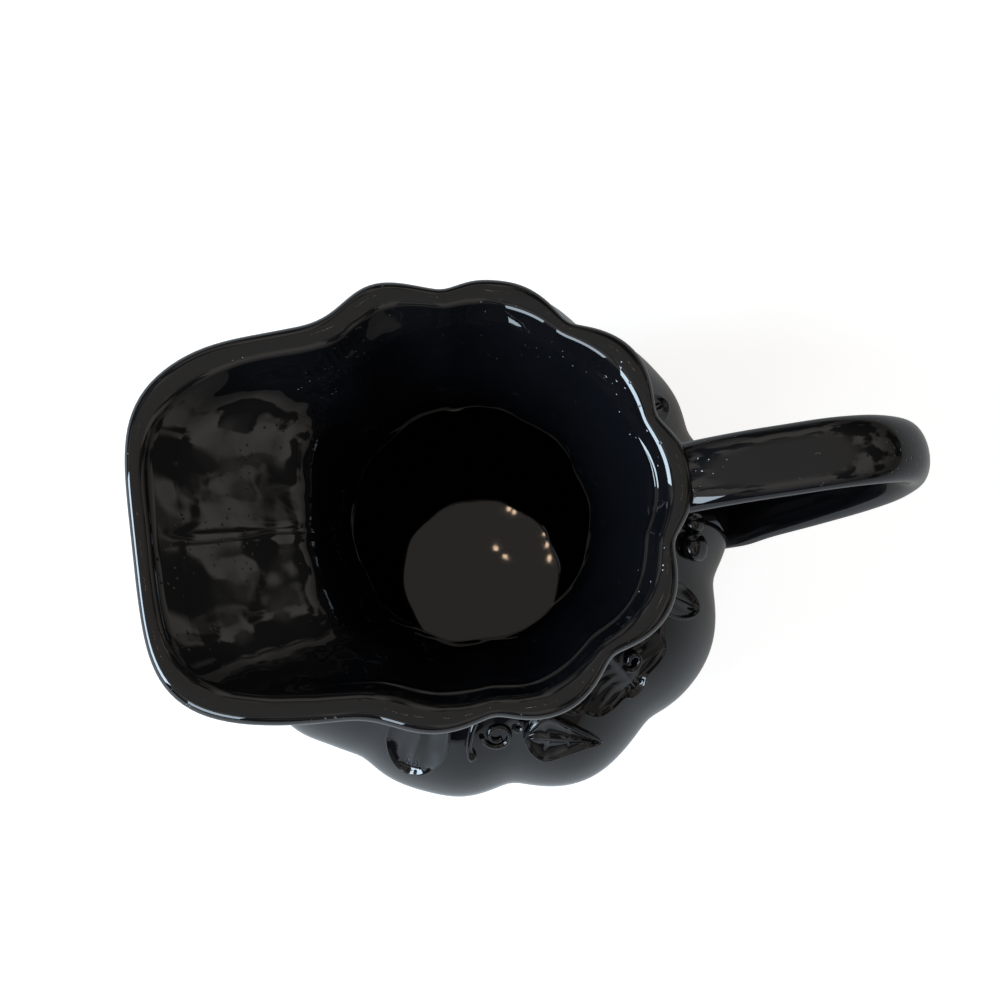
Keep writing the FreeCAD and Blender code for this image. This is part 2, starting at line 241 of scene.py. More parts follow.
class Term:
    """A number in a node tree, on which arithmetic adds Math nodes."""

    def __init__(self, tree: Tree, socket: Socket) -> None:
        """Keeps the output that holds the number."""
        self.tree = tree
        self.socket = socket

    def solve(self, operation: str, *operands: "Term | float") -> "Term":
        """The result of an operation on the operands alone."""
        node = add(self.tree, "ShaderNodeMath", dict(enumerate(operands)), operation=operation)
        return Term(self.tree, node.outputs[0])

    def of(self, operation: str, *others: "Term | float") -> "Term":
        """The result of an operation on this number and any others."""
        return self.solve(operation, self, *others)

    def __add__(self, other: "Term | float") -> "Term":
        """This number plus another."""
        return self.solve("ADD", self, other)

    def __radd__(self, other: float) -> "Term":
        """A plain number plus this one."""
        return self.solve("ADD", other, self)

    def __sub__(self, other: "Term | float") -> "Term":
        """This number less another."""
        return self.solve("SUBTRACT", self, other)

    def __rsub__(self, other: float) -> "Term":
        """A plain number less this one."""
        return self.solve("SUBTRACT", other, self)

    def __mul__(self, other: "Term | float") -> "Term":
        """This number times another."""
        return self.solve("MULTIPLY", self, other)

    def __truediv__(self, other: "Term | float") -> "Term":
        """This number over another."""
        return self.solve("DIVIDE", self, other)

    def __rtruediv__(self, other: float) -> "Term":
        """A plain number over this one."""
        return self.solve("DIVIDE", other, self)

    def __pow__(self, other: "Term | float") -> "Term":
        """This number to the power of another."""
        return self.solve("POWER", self, other)

    def bell(self) -> "Term":
        """Falls from 1 where this number is nought to nothing on both sides."""
        return (self * self * -1.0).of("EXPONENT")

    def clamped(self) -> "Term":
        """This number kept between 0 and 1."""
        return self.of("MAXIMUM", 0.0).of("MINIMUM", 1.0)


class ShapeTree:
    """A geometry tree with named inputs, ended by Realize Instances and Set Material."""

    def __init__(self, name: str, inputs: dict[str, str]) -> None:
        """Starts the tree.

        Args:
            name: Name of the tree.
            inputs: Socket type for the name of each input besides the geometry.
        """
        self.tree = bpy.data.node_groups.new(name, "GeometryNodeTree")
        interface = self.tree.interface
        interface.new_socket("Geometry", in_out="INPUT", socket_type="NodeSocketGeometry")
        for title, kind in {**inputs, "Material": "NodeSocketMaterial"}.items():
            interface.new_socket(title, in_out="INPUT", socket_type=kind)
        interface.new_socket("Geometry", in_out="OUTPUT", socket_type="NodeSocketGeometry")
        self.inputs = add(self.tree, "NodeGroupInput").outputs

    def out(self, kind: str, links: dict | None = None, **settings) -> Socket:
        """Adds a node to this tree and gives its first output."""
        return add(self.tree, kind, links, **settings).outputs[0]

    def number(self, name: str) -> Term:
        """The number at a named input."""
        return Term(self.tree, self.inputs[name])

    def stored(self, name: str) -> Term:
        """The value of a named point attribute."""
        return Term(self.tree, self.out("GeometryNodeInputNamedAttribute", {"Name": name}, data_type="FLOAT"))

    def lay(self, geometry: Socket) -> Socket:
        """Lays a form drawn in plan on the surface, with its height above the plan as its rise.

        Args:
            geometry: The form in plan, above the origin's level.

        Returns:
            The form on the surface.
        """
        place = add(self.tree, "ShaderNodeSeparateXYZ", {0: self.out("GeometryNodeInputPosition")}).outputs
        above = self.out("ShaderNodeCombineXYZ", {0: place[0], 1: place[1], 2: self.inputs["Start Height"]})
        surface = add(self.tree, "GeometryNodeObjectInfo", {"Object": self.inputs["Surface"]})
        ray = add(self.tree, "GeometryNodeRaycast", {
            "Target Geometry": surface.outputs["Geometry"], "Source Position": above,
            "Ray Direction": (0, 0, -1), "Ray Length": 1.0, "Attribute": self.out("GeometryNodeInputNormal"),
        }, data_type="FLOAT_VECTOR")
        raised = self.out("ShaderNodeVectorMath", {0: ray.outputs["Attribute"], "Scale": place[2]},
                          operation="SCALE")
        found = self.out("ShaderNodeVectorMath", {0: ray.outputs["Hit Position"], 1: raised})
        return self.out("GeometryNodeSetPosition", {"Geometry": geometry, "Position": found})

    def end(self, geometry: Socket) -> Tree:
        """Closes poles and ends the tree.

        Args:
            geometry: The finished form.

        Returns:
            The tree, ready for a modifier.
        """
        joined = self.out("GeometryNodeMergeByDistance", {"Geometry": geometry, "Distance": TINY})
        real = self.out("GeometryNodeRealizeInstances", {"Geometry": joined})
        dressed = self.out("GeometryNodeSetMaterial", {"Geometry": real, "Material": self.inputs["Material"]})
        add(self.tree, "NodeGroupOutput", {0: dressed})
        return self.tree


def shape_with(piece: Piece, tree: Tree, values: dict) -> Piece:
    """Gives a piece a geometry tree with its inputs set, and settles the result.

    Args:
        piece: Object that the tree shapes.
        tree: Tree from ShapeTree.end.
        values: Value for the name of each input.

    Returns:
        The shaped piece as a plain mesh.
    """
    modifier = piece.modifiers.new(tree.name, "NODES")
    modifier.node_group = tree
    for item in tree.interface.items_tree:
        if item.in_out == "INPUT" and item.name in values:
            modifier[item.identifier] = values[item.name]
    return settle(piece)


# Finishes

@dataclass(frozen=True)
class BlackGlaze:
    """Gloss glaze over slip-cast earthenware, poured and dipped, fired to a near-black glass.

    To the eye it is a black mirror: soft waves where the glaze has run, pinholes where gas escaped,
    and a thin brownish line where it has drawn back from an edge.
    """

    name: str = "black_gloss_glaze_dipped"
    colour: str = "#0a0b0e"
    thin_colour: str = "#2b2420"
    ior: float = 1.54
    roughness: float = 0.022
    thin_roughness: float = 0.12
    thin_grain: float = 6 * MM
    run_width: float = 16 * MM
    run_depth: float = 0.012 * MM
    run_roughness: float = 0.35
    pinhole_spacing: float = 2.2 * MM
    # Greatest radius of a pinhole as a share of the spacing, and the least, which shows nothing
    pinhole_share: float = 0.20
    no_pinhole: float = 0.001
    pinhole_depth: float = 0.16 * MM
    # The glaze has no pinholes below this height, and all of them above the band that follows
    smooth_below: float = 160 * MM
    smooth_band: float = 10 * MM
    cluster_width: float = 22 * MM
    cluster_levels: tuple = (0.47, 0.58)

    def material(self) -> Finish:
        """Builds the material.

        Returns:
            The glaze, which reads the thinness stored on the points.
        """
        material = bpy.data.materials.new(self.name)
        tree = empty_tree(material)
        place = add(tree, "ShaderNodeTexCoord").outputs["Object"]
        noises = ((self.run_width, 2.0, self.run_roughness), (self.cluster_width, 1.0, 0.5),
                  (self.thin_grain, 3.0, 0.5))
        runs, clusters, grain = (add(tree, "ShaderNodeTexNoise", {
            "Vector": place, "Scale": 1 / width, "Detail": detail, "Roughness": roughness}).outputs[0]
            for width, detail, roughness in noises)
        runs_bump = add(tree, "ShaderNodeBump", {
            "Height": runs, "Distance": self.run_depth, "Strength": 1.0})
        cells = add(tree, "ShaderNodeTexVoronoi", {"Vector": place, "Scale": 1 / self.pinhole_spacing})
        height = add(tree, "ShaderNodeSeparateXYZ", {0: place}).outputs[2]
        band = (self.smooth_below, self.smooth_below + self.smooth_band)
        gathered, high = (Term(tree, add(tree, "ShaderNodeMapRange", {
            0: value, 1: low, 2: top, 3: self.no_pinhole, 4: self.pinhole_share}).outputs[0])
            for value, (low, top) in ((clusters, self.cluster_levels), (height, band)))
        hole = add(tree, "ShaderNodeMapRange", {
            0: cells.outputs["Distance"], 1: gathered.of("MINIMUM", high), 2: 0.0, 3: 0.0, 4: 1.0})
        holes_bump = add(tree, "ShaderNodeBump", {
            "Height": hole.outputs[0], "Distance": self.pinhole_depth, "Strength": 1.0,
            "Normal": runs_bump.outputs[0]}, invert=True)
        thin = add(tree, "ShaderNodeAttribute", attribute_name="thin")
        edge = Term(tree, thin.outputs["Fac"]) * Term(tree, grain)
        colour = add(tree, "ShaderNodeMix", {
            "Factor": edge, "A": linear(self.colour), "B": linear(self.thin_colour)}, data_type="RGBA")
        gloss = add(tree, "ShaderNodeMapRange", {0: edge, 3: self.roughness, 4: self.thin_roughness})
        surface = add(tree, "ShaderNodeBsdfPrincipled", {
            "Base Color": colour.outputs[2], "Roughness": gloss.outputs[0], "IOR": self.ior,
            "Normal": holes_bump.outputs[0]})
        add(tree, "ShaderNodeOutputMaterial", {"Surface": surface.outputs[0]})
        return material


@dataclass(frozen=True)
class BareClay:
    """Biscuit-fired earthenware, wiped free of glaze where the ring stood in the kiln.

    It looks dry and chalky, pale buff with darker specks of grog.
    """

    name: str = "buff_earthenware_unglazed"
    colour: str = "#c9bda6"
    speck_colour: str = "#8d7b62"
    roughness: float = 0.86
    grain: float = 0.7 * MM
    grain_depth: float = 0.04 * MM
    stain_width: float = 14 * MM
    speck_spacing: float = 2.4 * MM
    speck_share: float = 0.16

    def material(self) -> Finish:
        """Builds the material.

        Returns:
            The bare clay.
        """
        material = bpy.data.materials.new(self.name)
        tree = empty_tree(material)
        place = add(tree, "ShaderNodeTexCoord").outputs["Object"]
        cells = add(tree, "ShaderNodeTexVoronoi", {"Vector": place, "Scale": 1 / self.speck_spacing})
        stain, grain = (add(tree, "ShaderNodeTexNoise", {
            "Vector": place, "Scale": 1 / width, "Detail": detail}).outputs[0]
            for width, detail in ((self.stain_width, 4.0), (self.grain, 2.0)))
        speck = Term(tree, cells.outputs["Distance"]).of("LESS_THAN", self.speck_share)
        colour = add(tree, "ShaderNodeMix", {
            "Factor": speck * Term(tree, stain), "A": linear(self.colour), "B": linear(self.speck_colour),
        }, data_type="RGBA")
        bump = add(tree, "ShaderNodeBump", {
            "Height": grain, "Distance": self.grain_depth, "Strength": 1.0})
        surface = add(tree, "ShaderNodeBsdfPrincipled", {
            "Base Color": colour.outputs[2], "Roughness": self.roughness, "Normal": bump.outputs[0]})
        add(tree, "ShaderNodeOutputMaterial", {"Surface": surface.outputs[0]})
        return material


# Body

@dataclass(frozen=True)
class Row:
    """One lobed ring of the vessel's wall, whose values every point of the ring carries."""

    height: float
    crest: float
    groove: float
    reach: float
    half_width: float
    back: float
    slope: float = 0.0
    wave: float = 0.0
    thin: float = 0.0
    seam: float = 0.0
    twist: float = 0.0
    rim_part: float = 0.0
    belly_part: float = 0.0
    flare: float = 0.0
    bead: float = 0.0


def smooth_rows(rows: Sequence[Row], spacing: float, passes: int = 6) -> list[Row]:
    """Fills in rows along a profile, evenly within each stretch, and softens the bends between them.

    Args:
        rows: The given rows in order along the profile.
        spacing: Greatest distance between two rows of the result.
        passes: Number of times that each row is averaged with its neighbours.

    Returns:
        The rows with smooth ones between them.
    """
    knots = [0.0]
    for before, after in zip(rows, rows[1:]):
        reach = max(abs(after.reach - before.reach), abs(after.crest - before.crest))
        knots.append(knots[-1] + math.hypot(after.height - before.height, reach))
    places = []
    for start, end in zip(knots, knots[1:]):
        count = max(1, math.ceil((end - start) / spacing))
        places += [between(start, end, step / count) for step in range(count)]
    places.append(knots[-1])
    table = {}
    for item in fields(Row):
        values = monotone(knots, [getattr(row, item.name) for row in rows], places)
        for _ in range(passes):
            middle = [(before + 2 * value + after) / 4
                      for before, value, after in zip(values, values[1:], values[2:])]
            values = [values[0], *middle, values[-1]]
        table[item.name] = values
    return [Row(*values) for values in zip(*table.values())]


@dataclass(frozen=True)
class Body:
    """Slip-cast body: round lobed belly, short neck and flared mouth drawn out into the spout."""

    # Lobes: depth of the grooves as shares of the radius, outside and then inside
    lobe_count: int = 10
    groove_softness: float = 0.22
    groove_share: float = 0.066
    rim_groove_share: float = 0.08
    throat_groove_share: float = 0.022
    lip_groove_share: float = 0.035
    # Heights and radii of the outer profile
    foot_height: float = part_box("foot_ring")[1].z
    foot_radius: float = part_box("foot_ring")[1].x
    foot_width: float = 7 * MM
    # Rise over the foot ring of the flat underside, of the belly's start and of the shallow dome inside
    underside: tuple = (0.2 * MM, 0.3 * MM, 1.0 * MM)
    widest_height: float = 62 * MM
    seam_height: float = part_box("belly")[1].z
    waist_height: float = 133 * MM
    rim_height: float = 190 * MM
    base_radius: float = 53 * MM
    belly_radius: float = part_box("belly")[1].x - 0.35 * MM
    seam_radius: float = 49 * MM
    waist_radius: float = 42 * MM
    rim_radius: float = 61.5 * MM
    # Wall and floor
    wall: float = 5.5 * MM
    throat_wall: float = 6.4 * MM
    floor: float = 6.5 * MM
    floor_radius: float = 62 * MM
    floor_shares: tuple = (1.0, 0.93, 0.6, 0.3, 0.0)
    cove_radius: float = 65.8 * MM
    rim_width: float = 9 * MM
    rim_slope: float = 0.03
    # Spout
    spout_reach: float = 90 * MM
    spout_half_width: float = 53 * MM
    spout_squareness: float = 4.5
    spout_start_shares: tuple = (0.85, 0.78, 0.35)
    blend_power: float = 12.0
    # Shares of the height and of the radius, from the bottom to the widest ring and on to the seam
    lower_shares: tuple = (
        (0.0, 0.0), (0.05, 0.30), (0.14, 0.54), (0.28, 0.745), (0.47, 0.90), (0.72, 0.98), (1.0, 1.0),
    )
    upper_shares: tuple = (
        (0.20, 0.975), (0.38, 0.885), (0.55, 0.73), (0.70, 0.52), (0.84, 0.29), (0.93, 0.12), (1.0, 0.0),
    )
    # Height, outer and inner radius, and outer and inner spout shares from the waist to the rim
    mouth_shares: tuple = (
        (0.0, 0.0, 0.0, 0.0, 0.0), (0.20, 0.06, 0.08, 0.03, 0.03), (0.40, 0.17, 0.22, 0.10, 0.09),
        (0.58, 0.32, 0.42, 0.27, 0.21), (0.74, 0.50, 0.63, 0.59, 0.56), (0.86, 0.69, 0.80, 0.83, 0.85),
        (0.94, 0.87, 1.01, 0.95, 1.02),
    )
    # Rolled lip: width, drop and number of rings of its outer and of its inner quarter, the angle where it
    # ends inside, how much narrower it is at the spout, and the ring where the glaze is thinnest
    lip_outer: tuple = (3.4 * MM, 3.8 * MM, 10)
    lip_inner: tuple = (5.2 * MM, 4.0 * MM, 12)
    lip_end: float = 63.0
    lip_at_spout: float = 0.75
    lip_thinnest: int = 3
    throat_thin: float = 0.15
    # Fine bead where the glaze stopped running inside the mouth: place and half height as shares of the
    # distance from the lip to the next ring of the wall, and rise
    bead_place: float = 0.62
    bead_half: float = 0.07
    bead_rise: float = 0.30 * MM
    # Slope and start of the bead's fading towards the far side, by the sine of the turn, and towards the
    # spout, by the cosine
    bead_near: tuple = (-2.0, 0.6)
    bead_round: tuple = (2.0, 1.5)
    # Crease inside the spout, with a shallow bowl on each side of it
    seam_ridge: float = 0.5 * MM
    seam_half: float = 1.5 * MM
    bowl_place: float = 17 * MM
    bowl_half: float = 9 * MM
    bowl_share: float = 2.2
    # Unevenness of the glazed skin, from the belly outside to the floor, and how wide its swings are
    belly_wave: float = 0.06 * MM
    outer_wave: float = 0.05 * MM
    lip_wave: float = 0.16 * MM
    mouth_wave: float = 0.62 * MM
    inner_wave: float = 0.08 * MM
    cove_wave: float = 0.02 * MM
    floor_wave: float = 0.003 * MM
    wave_width: float = 17 * MM
    wave_gain: float = 4.0
    # Unevenness of a form finished by hand: turn of the lobes at the belly and at the rim, and the spout's
    # sides, which spread on the near side and draw in on the far one
    belly_twist: float = math.radians(0.75)
    rim_twist: float = math.radians(-0.7)
    near_flare: float = 0.077
    far_flare: float = -0.03
    flare_middle: float = 0.62
    # Fuller and flatter places: angle from the handle and half width in degrees, and millimetres at the rim
    # and at the belly
    swells: tuple = (
        (107, 10, 2.3, 0.0), (142, 8, 1.4, 0.0), (36, 9, 0.0, -2.5), (309, 9, 0.0, 1.9), (284, 10, 0.0, 0.6),
        (251, 9, 0.0, -2.3), (226, 6, 0.0, -1.3),
    )
    columns: int = 256
    spacing: float = 1.9 * MM
    core_columns: int = 120
    core_spacing: float = 6 * MM
    core_lift: float = 20 * MM

    def belly_row(self, height: float, crest: float, wave: float = 0.0, groove: float | None = None) -> Row:
        """One ring of the belly, whose grooves fade out towards the axis.

        Args:
            height: Height of the ring.
            crest: Radius over the lobes.
            wave: Unevenness of the surface.
            groove: Depth of the grooves as a share of the radius, or None for the belly's own.

        Returns:
            The ring.
        """
        fade = min(1.0, (crest / self.base_radius) ** 2)
        half = crest / 2
        share = self.groove_share * fade if groove is None else groove
        return Row(height, crest, share, half, half, half, wave=wave, twist=self.belly_twist,
                   belly_part=min(1.0, (crest / self.belly_radius) ** 3))

    def belly_rows(self, inset: float, bottom: float, wave: float) -> list[Row]:
        """Rings of the belly from its bottom to the seam.

        Args:
            inset: Distance in from the outer surface.
            bottom: Height of the lowest ring.
            wave: Unevenness of the surface.

        Returns:
            The rings in order.
        """
        belly = self.belly_radius - inset
        base = self.base_radius - inset
        seam = self.seam_radius - min(inset, self.throat_wall)
        rows = [self.belly_row(between(bottom, self.widest_height, height_share),
                               between(base, belly, radius_share), wave)
                for height_share, radius_share in self.lower_shares]
        top_groove = self.throat_groove_share if inset else self.groove_share
        rows += [self.belly_row(between(self.widest_height, self.seam_height, height_share),
                                between(seam, belly, radius_share), wave,
                                between(self.groove_share, top_groove, height_share))
                 for height_share, radius_share in self.upper_shares]
        return rows

    def neck_row(self, set_in: float) -> Row:
        """The ring half way from the seam up to the waist.

        Args:
            set_in: Share of the way from the outer to the inner surface.

        Returns:
            The ring.
        """
        seam = self.seam_radius - set_in * self.throat_wall
        waist = self.waist_radius - set_in * self.throat_wall
        groove = between(self.groove_share, self.throat_groove_share, set_in)
        return self.belly_row(between(self.seam_height, self.waist_height, 1 / 2),
                              between(waist, seam, 1 / 3), self.outer_wave, groove)

    def mouth_row(self, shares: Sequence[float], set_in: float, trim: float = 0.0, lift: float = 0.0,
                  wave: float = 0.0, thin: float = 0.0) -> Row:
        """One ring of the mouth.

        Args:
            shares: Height, radius and spout shares between the waist and the rim.
            set_in: Share of the way from the outer to the inner surface.
            trim: Distance in from the outline of the shares.
            lift: Distance above the height of the shares.
            wave: Unevenness of the surface.
            thin: Thinness of the glaze, from 0 to 1.

        Returns:
            The ring.
        """
        height_share, radius_share, spout_share = shares
        waist = self.waist_radius - set_in * self.throat_wall
        inset = set_in * self.rim_width
        reach_start, width_start, back = (share * waist for share in self.spout_start_shares)
        outer_groove = between(self.groove_share, self.rim_groove_share, radius_share)
        inner_groove = between(self.throat_groove_share, self.lip_groove_share, radius_share)
        return Row(
            height=between(self.waist_height, self.rim_height, height_share) + lift,
            crest=between(waist, self.rim_radius - inset, radius_share) - trim,
            groove=between(outer_groove, inner_groove, max(set_in, min(1.0, trim / self.rim_width))),
            reach=between(reach_start, self.spout_reach - inset, spout_share) - trim * self.lip_at_spout,
            half_width=between(width_start, self.spout_half_width - inset, spout_share) - trim,
            back=back, slope=self.rim_slope * height_share, wave=wave, thin=thin,
            seam=self.seam_ridge * set_in * min(1.0, 3 * height_share),
            twist=between(self.belly_twist, self.rim_twist, height_share),
            rim_part=radius_share, flare=spout_share,
        )

    def outer_rows(self) -> list[Row]:
        """Follows the outer surface.

        Returns:
            The rings from the middle of the underside up to the lip.
        """
        ring_inner = self.foot_radius - self.foot_width
        level, start, dome = (self.foot_height + rise for rise in self.underside)
        rows = [self.belly_row(dome, 0.0), self.belly_row(dome, ring_inner / 2),
                self.belly_row(level, ring_inner), self.belly_row(level, self.foot_radius)]
        rows += self.belly_rows(0.0, start, self.belly_wave)
        rows.append(self.neck_row(0.0))
        rows += [self.mouth_row((height, outer, spout), 0.0, wave=self.outer_wave)
                 for height, outer, _, spout, _ in self.mouth_shares]
        return rows

    def rim_rows(self) -> list[Row]:
        """Follows the rolled lip along two quarter ellipses.

        Returns:
            The rings from outside to inside.
        """
        outer_width, outer_drop, outer_count = self.lip_outer
        inner_width, inner_drop, inner_count = self.lip_inner
        places = []
        for step in range(outer_count):
            turn = math.radians(90 * step / outer_count)
            places.append((outer_width * (1 - math.cos(turn)), -outer_drop * (1 - math.sin(turn)),
                           self.outer_wave, bell((step - self.lip_thinnest) / 2)))
        for step in range(inner_count + 1):
            turn = math.radians(self.lip_end * step / inner_count)
            places.append((outer_width + inner_width * math.sin(turn), -inner_drop * (1 - math.cos(turn)),
                           self.lip_wave))
        return [self.mouth_row((1.0, 1.0, 1.0), 0.0, *place) for place in places]

    def bead_rows(self, lip: Row, wall: Row, steps: int = 6) -> list[Row]:
        """Rings over the fine bead of glaze inside the mouth.

        Args:
            lip: Last ring of the rolled lip.
            wall: Ring of the wall below the bead.
            steps: Number of stretches over the bead.

        Returns:
            The rings from the bead's upper side to its lower one.
        """
        rows = []
        for step in range(steps + 1):
            turn = math.pi * step / steps
            share = self.bead_place - self.bead_half * math.cos(turn)
            ring = Row(*(between(getattr(lip, item.name), getattr(wall, item.name), share)
                         for item in fields(Row)))
            rows.append(replace(ring, bead=self.bead_rise * math.sin(turn)))
        return rows

    def inner_rows(self) -> list[Row]:
        """Follows the inner surface.

        Returns:
            The rings from the mouth down to the middle of the floor.
        """
        rows = [self.mouth_row((height, inner, spout), 1.0, wave=self.mouth_wave,
                               thin=0.0 if height else self.throat_thin)
                for height, _, inner, _, spout in self.mouth_shares[-2::-1]]
        rows.append(self.neck_row(1.0))
        bottom = self.foot_height + self.floor
        belly = self.belly_rows(self.wall, bottom, self.inner_wave)
        rows += reversed(belly[2:])
        rows.append(self.belly_row(belly[1].height, self.cove_radius, self.cove_wave))
        rows += [self.belly_row(bottom, share * self.floor_radius, self.floor_wave)
                 for share in self.floor_shares]
        return rows

    def outline(self, form: ShapeTree, row: dict[str, Term]) -> Term:
        """Radius at a point of a ring: its lobes joined with the squared spout, and the hand-made swells.

        Args:
            form: Tree that the rule is built in.
            row: Values that the point carries, and the cosine and sine of its turn.

        Returns:
            The radius.
        """
        soft, square, blend = (form.number(name) for name in
                               ("Groove Softness", "Spout Squareness", "Blend Power"))
        cosine, sine = row["cosine"], row["sine"]
        ripple = ((row["turn"] - row["twist"]) * (form.number("Lobe Count") / 2.0)).of("COSINE")
        rounded = (ripple * ripple + soft * soft).of("SQRT") - soft
        full = (1.0 + soft * soft).of("SQRT") - soft
        lobed = row["crest"] * (1.0 - (1.0 - rounded / full) * row["groove"])
        length = row["behind"] * row["reach"] + (1.0 - row["behind"]) * row["back"]
        side = sine.of("LESS_THAN", 0.0) * (self.near_flare - self.far_flare) + self.far_flare
        half_width = row["half_width"] * ((-self.flare_middle - cosine) * row["flare"] * side + 1.0)
        along = cosine / length.of("MAXIMUM", 10 * TINY)
        across = sine / half_width.of("MAXIMUM", 10 * TINY)
        box = (along.of("ABSOLUTE") ** square + across.of("ABSOLUTE") ** square) ** (-1.0 / square)
        ratio = box / lobed.of("MAXIMUM", TINY)
        radius = lobed * (1.0 + ratio ** blend) ** (1.0 / blend)
        for angle, width, at_rim, at_belly in self.swells:
            share = (row["turn"] - math.radians(angle)) / math.radians(width)
            size = row["rim_part"] * (at_rim * MM) + row["belly_part"] * (at_belly * MM)
            radius = radius + share.bell() * size
        return radius

    def lobing_tree(self) -> Tree:
        """Sets every point of the turned rows on its lobed ring, then makes the skin uneven.

        Returns:
            The tree, for points that carry the values of their row and their turn.
        """
        form = ShapeTree("lobed_ware", dict.fromkeys(
            ("Lobe Count", "Groove Softness", "Spout Squareness", "Blend Power", "Unevenness Width"),
            "NodeSocketFloat"))
        row = {name: form.stored(name) for name in ("turn", *(item.name for item in fields(Row)))}
        cosine, sine = row["turn"].of("COSINE"), row["turn"].of("SINE")
        row.update(cosine=cosine, sine=sine, behind=cosine.of("LESS_THAN", 0.0))
        radius = self.outline(form, row)
        across, sideways = radius * cosine, radius * sine
        place = form.out("ShaderNodeCombineXYZ", {
            0: across, 1: sideways, 2: row["height"] - across * row["slope"]})
        formed = form.out("GeometryNodeSetPosition", {
            "Geometry": form.inputs["Geometry"], "Position": place})
        noise = form.out("ShaderNodeTexNoise", {
            "Vector": form.out("GeometryNodeInputPosition"), "Scale": 1.0 / form.number("Unevenness Width"),
            "Detail": 3.0, "Roughness": 0.42})
        swing = (Term(form.tree, noise) - 0.5) * row["wave"] * self.wave_gain
        off = sine * row["crest"]
        ridge = (off / self.seam_half).bell()
        bowl = ((off.of("ABSOLUTE") - self.bowl_place) / self.bowl_half).bell()
        crease = (ridge - bowl * self.bowl_share) * row["seam"] * row["behind"]
        bead = row["bead"]
        for part, (slope, start) in ((sine, self.bead_near), (cosine, self.bead_round)):
            bead = bead * (part * slope + start).clamped()
        push = form.out("ShaderNodeVectorMath", {
            0: form.out("GeometryNodeInputNormal"), "Scale": crease + swing + bead}, operation="SCALE")
        return form.end(form.out("GeometryNodeSetPosition", {"Geometry": formed, "Offset": push}))

    def turned(self, name: str, rows: Sequence[Row], columns: int, material: Finish | None,
               tree: Tree) -> Piece:
        """Makes a closed form from rows of the wall.

        Args:
            name: Name of the piece.
            rows: Rings in order from pole to pole.
            columns: Number of points around each ring.
            material: Finish of the form.
            tree: Tree from lobing_tree.

        Returns:
            The form as a plain mesh.
        """
        stored = {item.name: [getattr(row, item.name) for row in rows for _ in range(columns)]
                  for item in fields(Row)}
        turns = [TAU * column / columns for column in range(columns)]
        stored["turn"] = turns * len(rows)
        start = [(row.crest * math.cos(turn), row.crest * math.sin(turn), row.height)
                 for row in rows for turn in turns]
        piece = make_object(name, start, grid_faces(len(rows), columns), attributes=stored)
        return shape_with(piece, tree, {
            "Lobe Count": float(self.lobe_count), "Groove Softness": self.groove_softness,
            "Spout Squareness": self.spout_squareness, "Blend Power": self.blend_power,
            "Unevenness Width": self.wave_width, "Material": material,
        })

    def build(self, material: Finish) -> Piece:
        """Makes the whole glazed body, outside and inside.

        Args:
            material: Finish of the body.

        Returns:
            The finished body.
        """
        lip = self.rim_rows()
        rows = smooth_rows(self.outer_rows() + lip[:1], self.spacing)[:-1] + lip
        inner = self.inner_rows()
        bead = self.bead_rows(lip[-1], inner[0])
        rows += smooth_rows(lip[-1:] + bead[:1], self.spacing)[1:-1] + bead
        rows += smooth_rows(bead[-1:] + inner, self.spacing)[1:]
        body = self.turned("glazed_body", rows, self.columns, material, self.lobing_tree())
        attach(body, "root")
        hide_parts("belly", "neck_and_spout")
        return body

    def hollow(self) -> Piece:
        """Makes the space up to the middle of the wall, which trims what is luted on from outside.

        Returns:
            The solid core, to be removed after its use.
        """
        half = self.wall / 2
        rows = self.belly_rows(half, self.foot_height + half, 0.0)
        rows.insert(0, self.belly_row(rows[0].height, 0.0))
        rows += [self.mouth_row((height, (outer + inner) / 2, spout), 0.5)
                 for height, outer, inner, spout, _ in self.mouth_shares]
        top = self.mouth_row((1.0, 1.0, 1.0), 0.5, lift=self.core_lift)
        rows += [top, self.belly_row(top.height, 0.0)]
        return self.turned("wall_core", smooth_rows(rows, self.core_spacing), self.core_columns, None,
                           self.lobing_tree())


# Handle

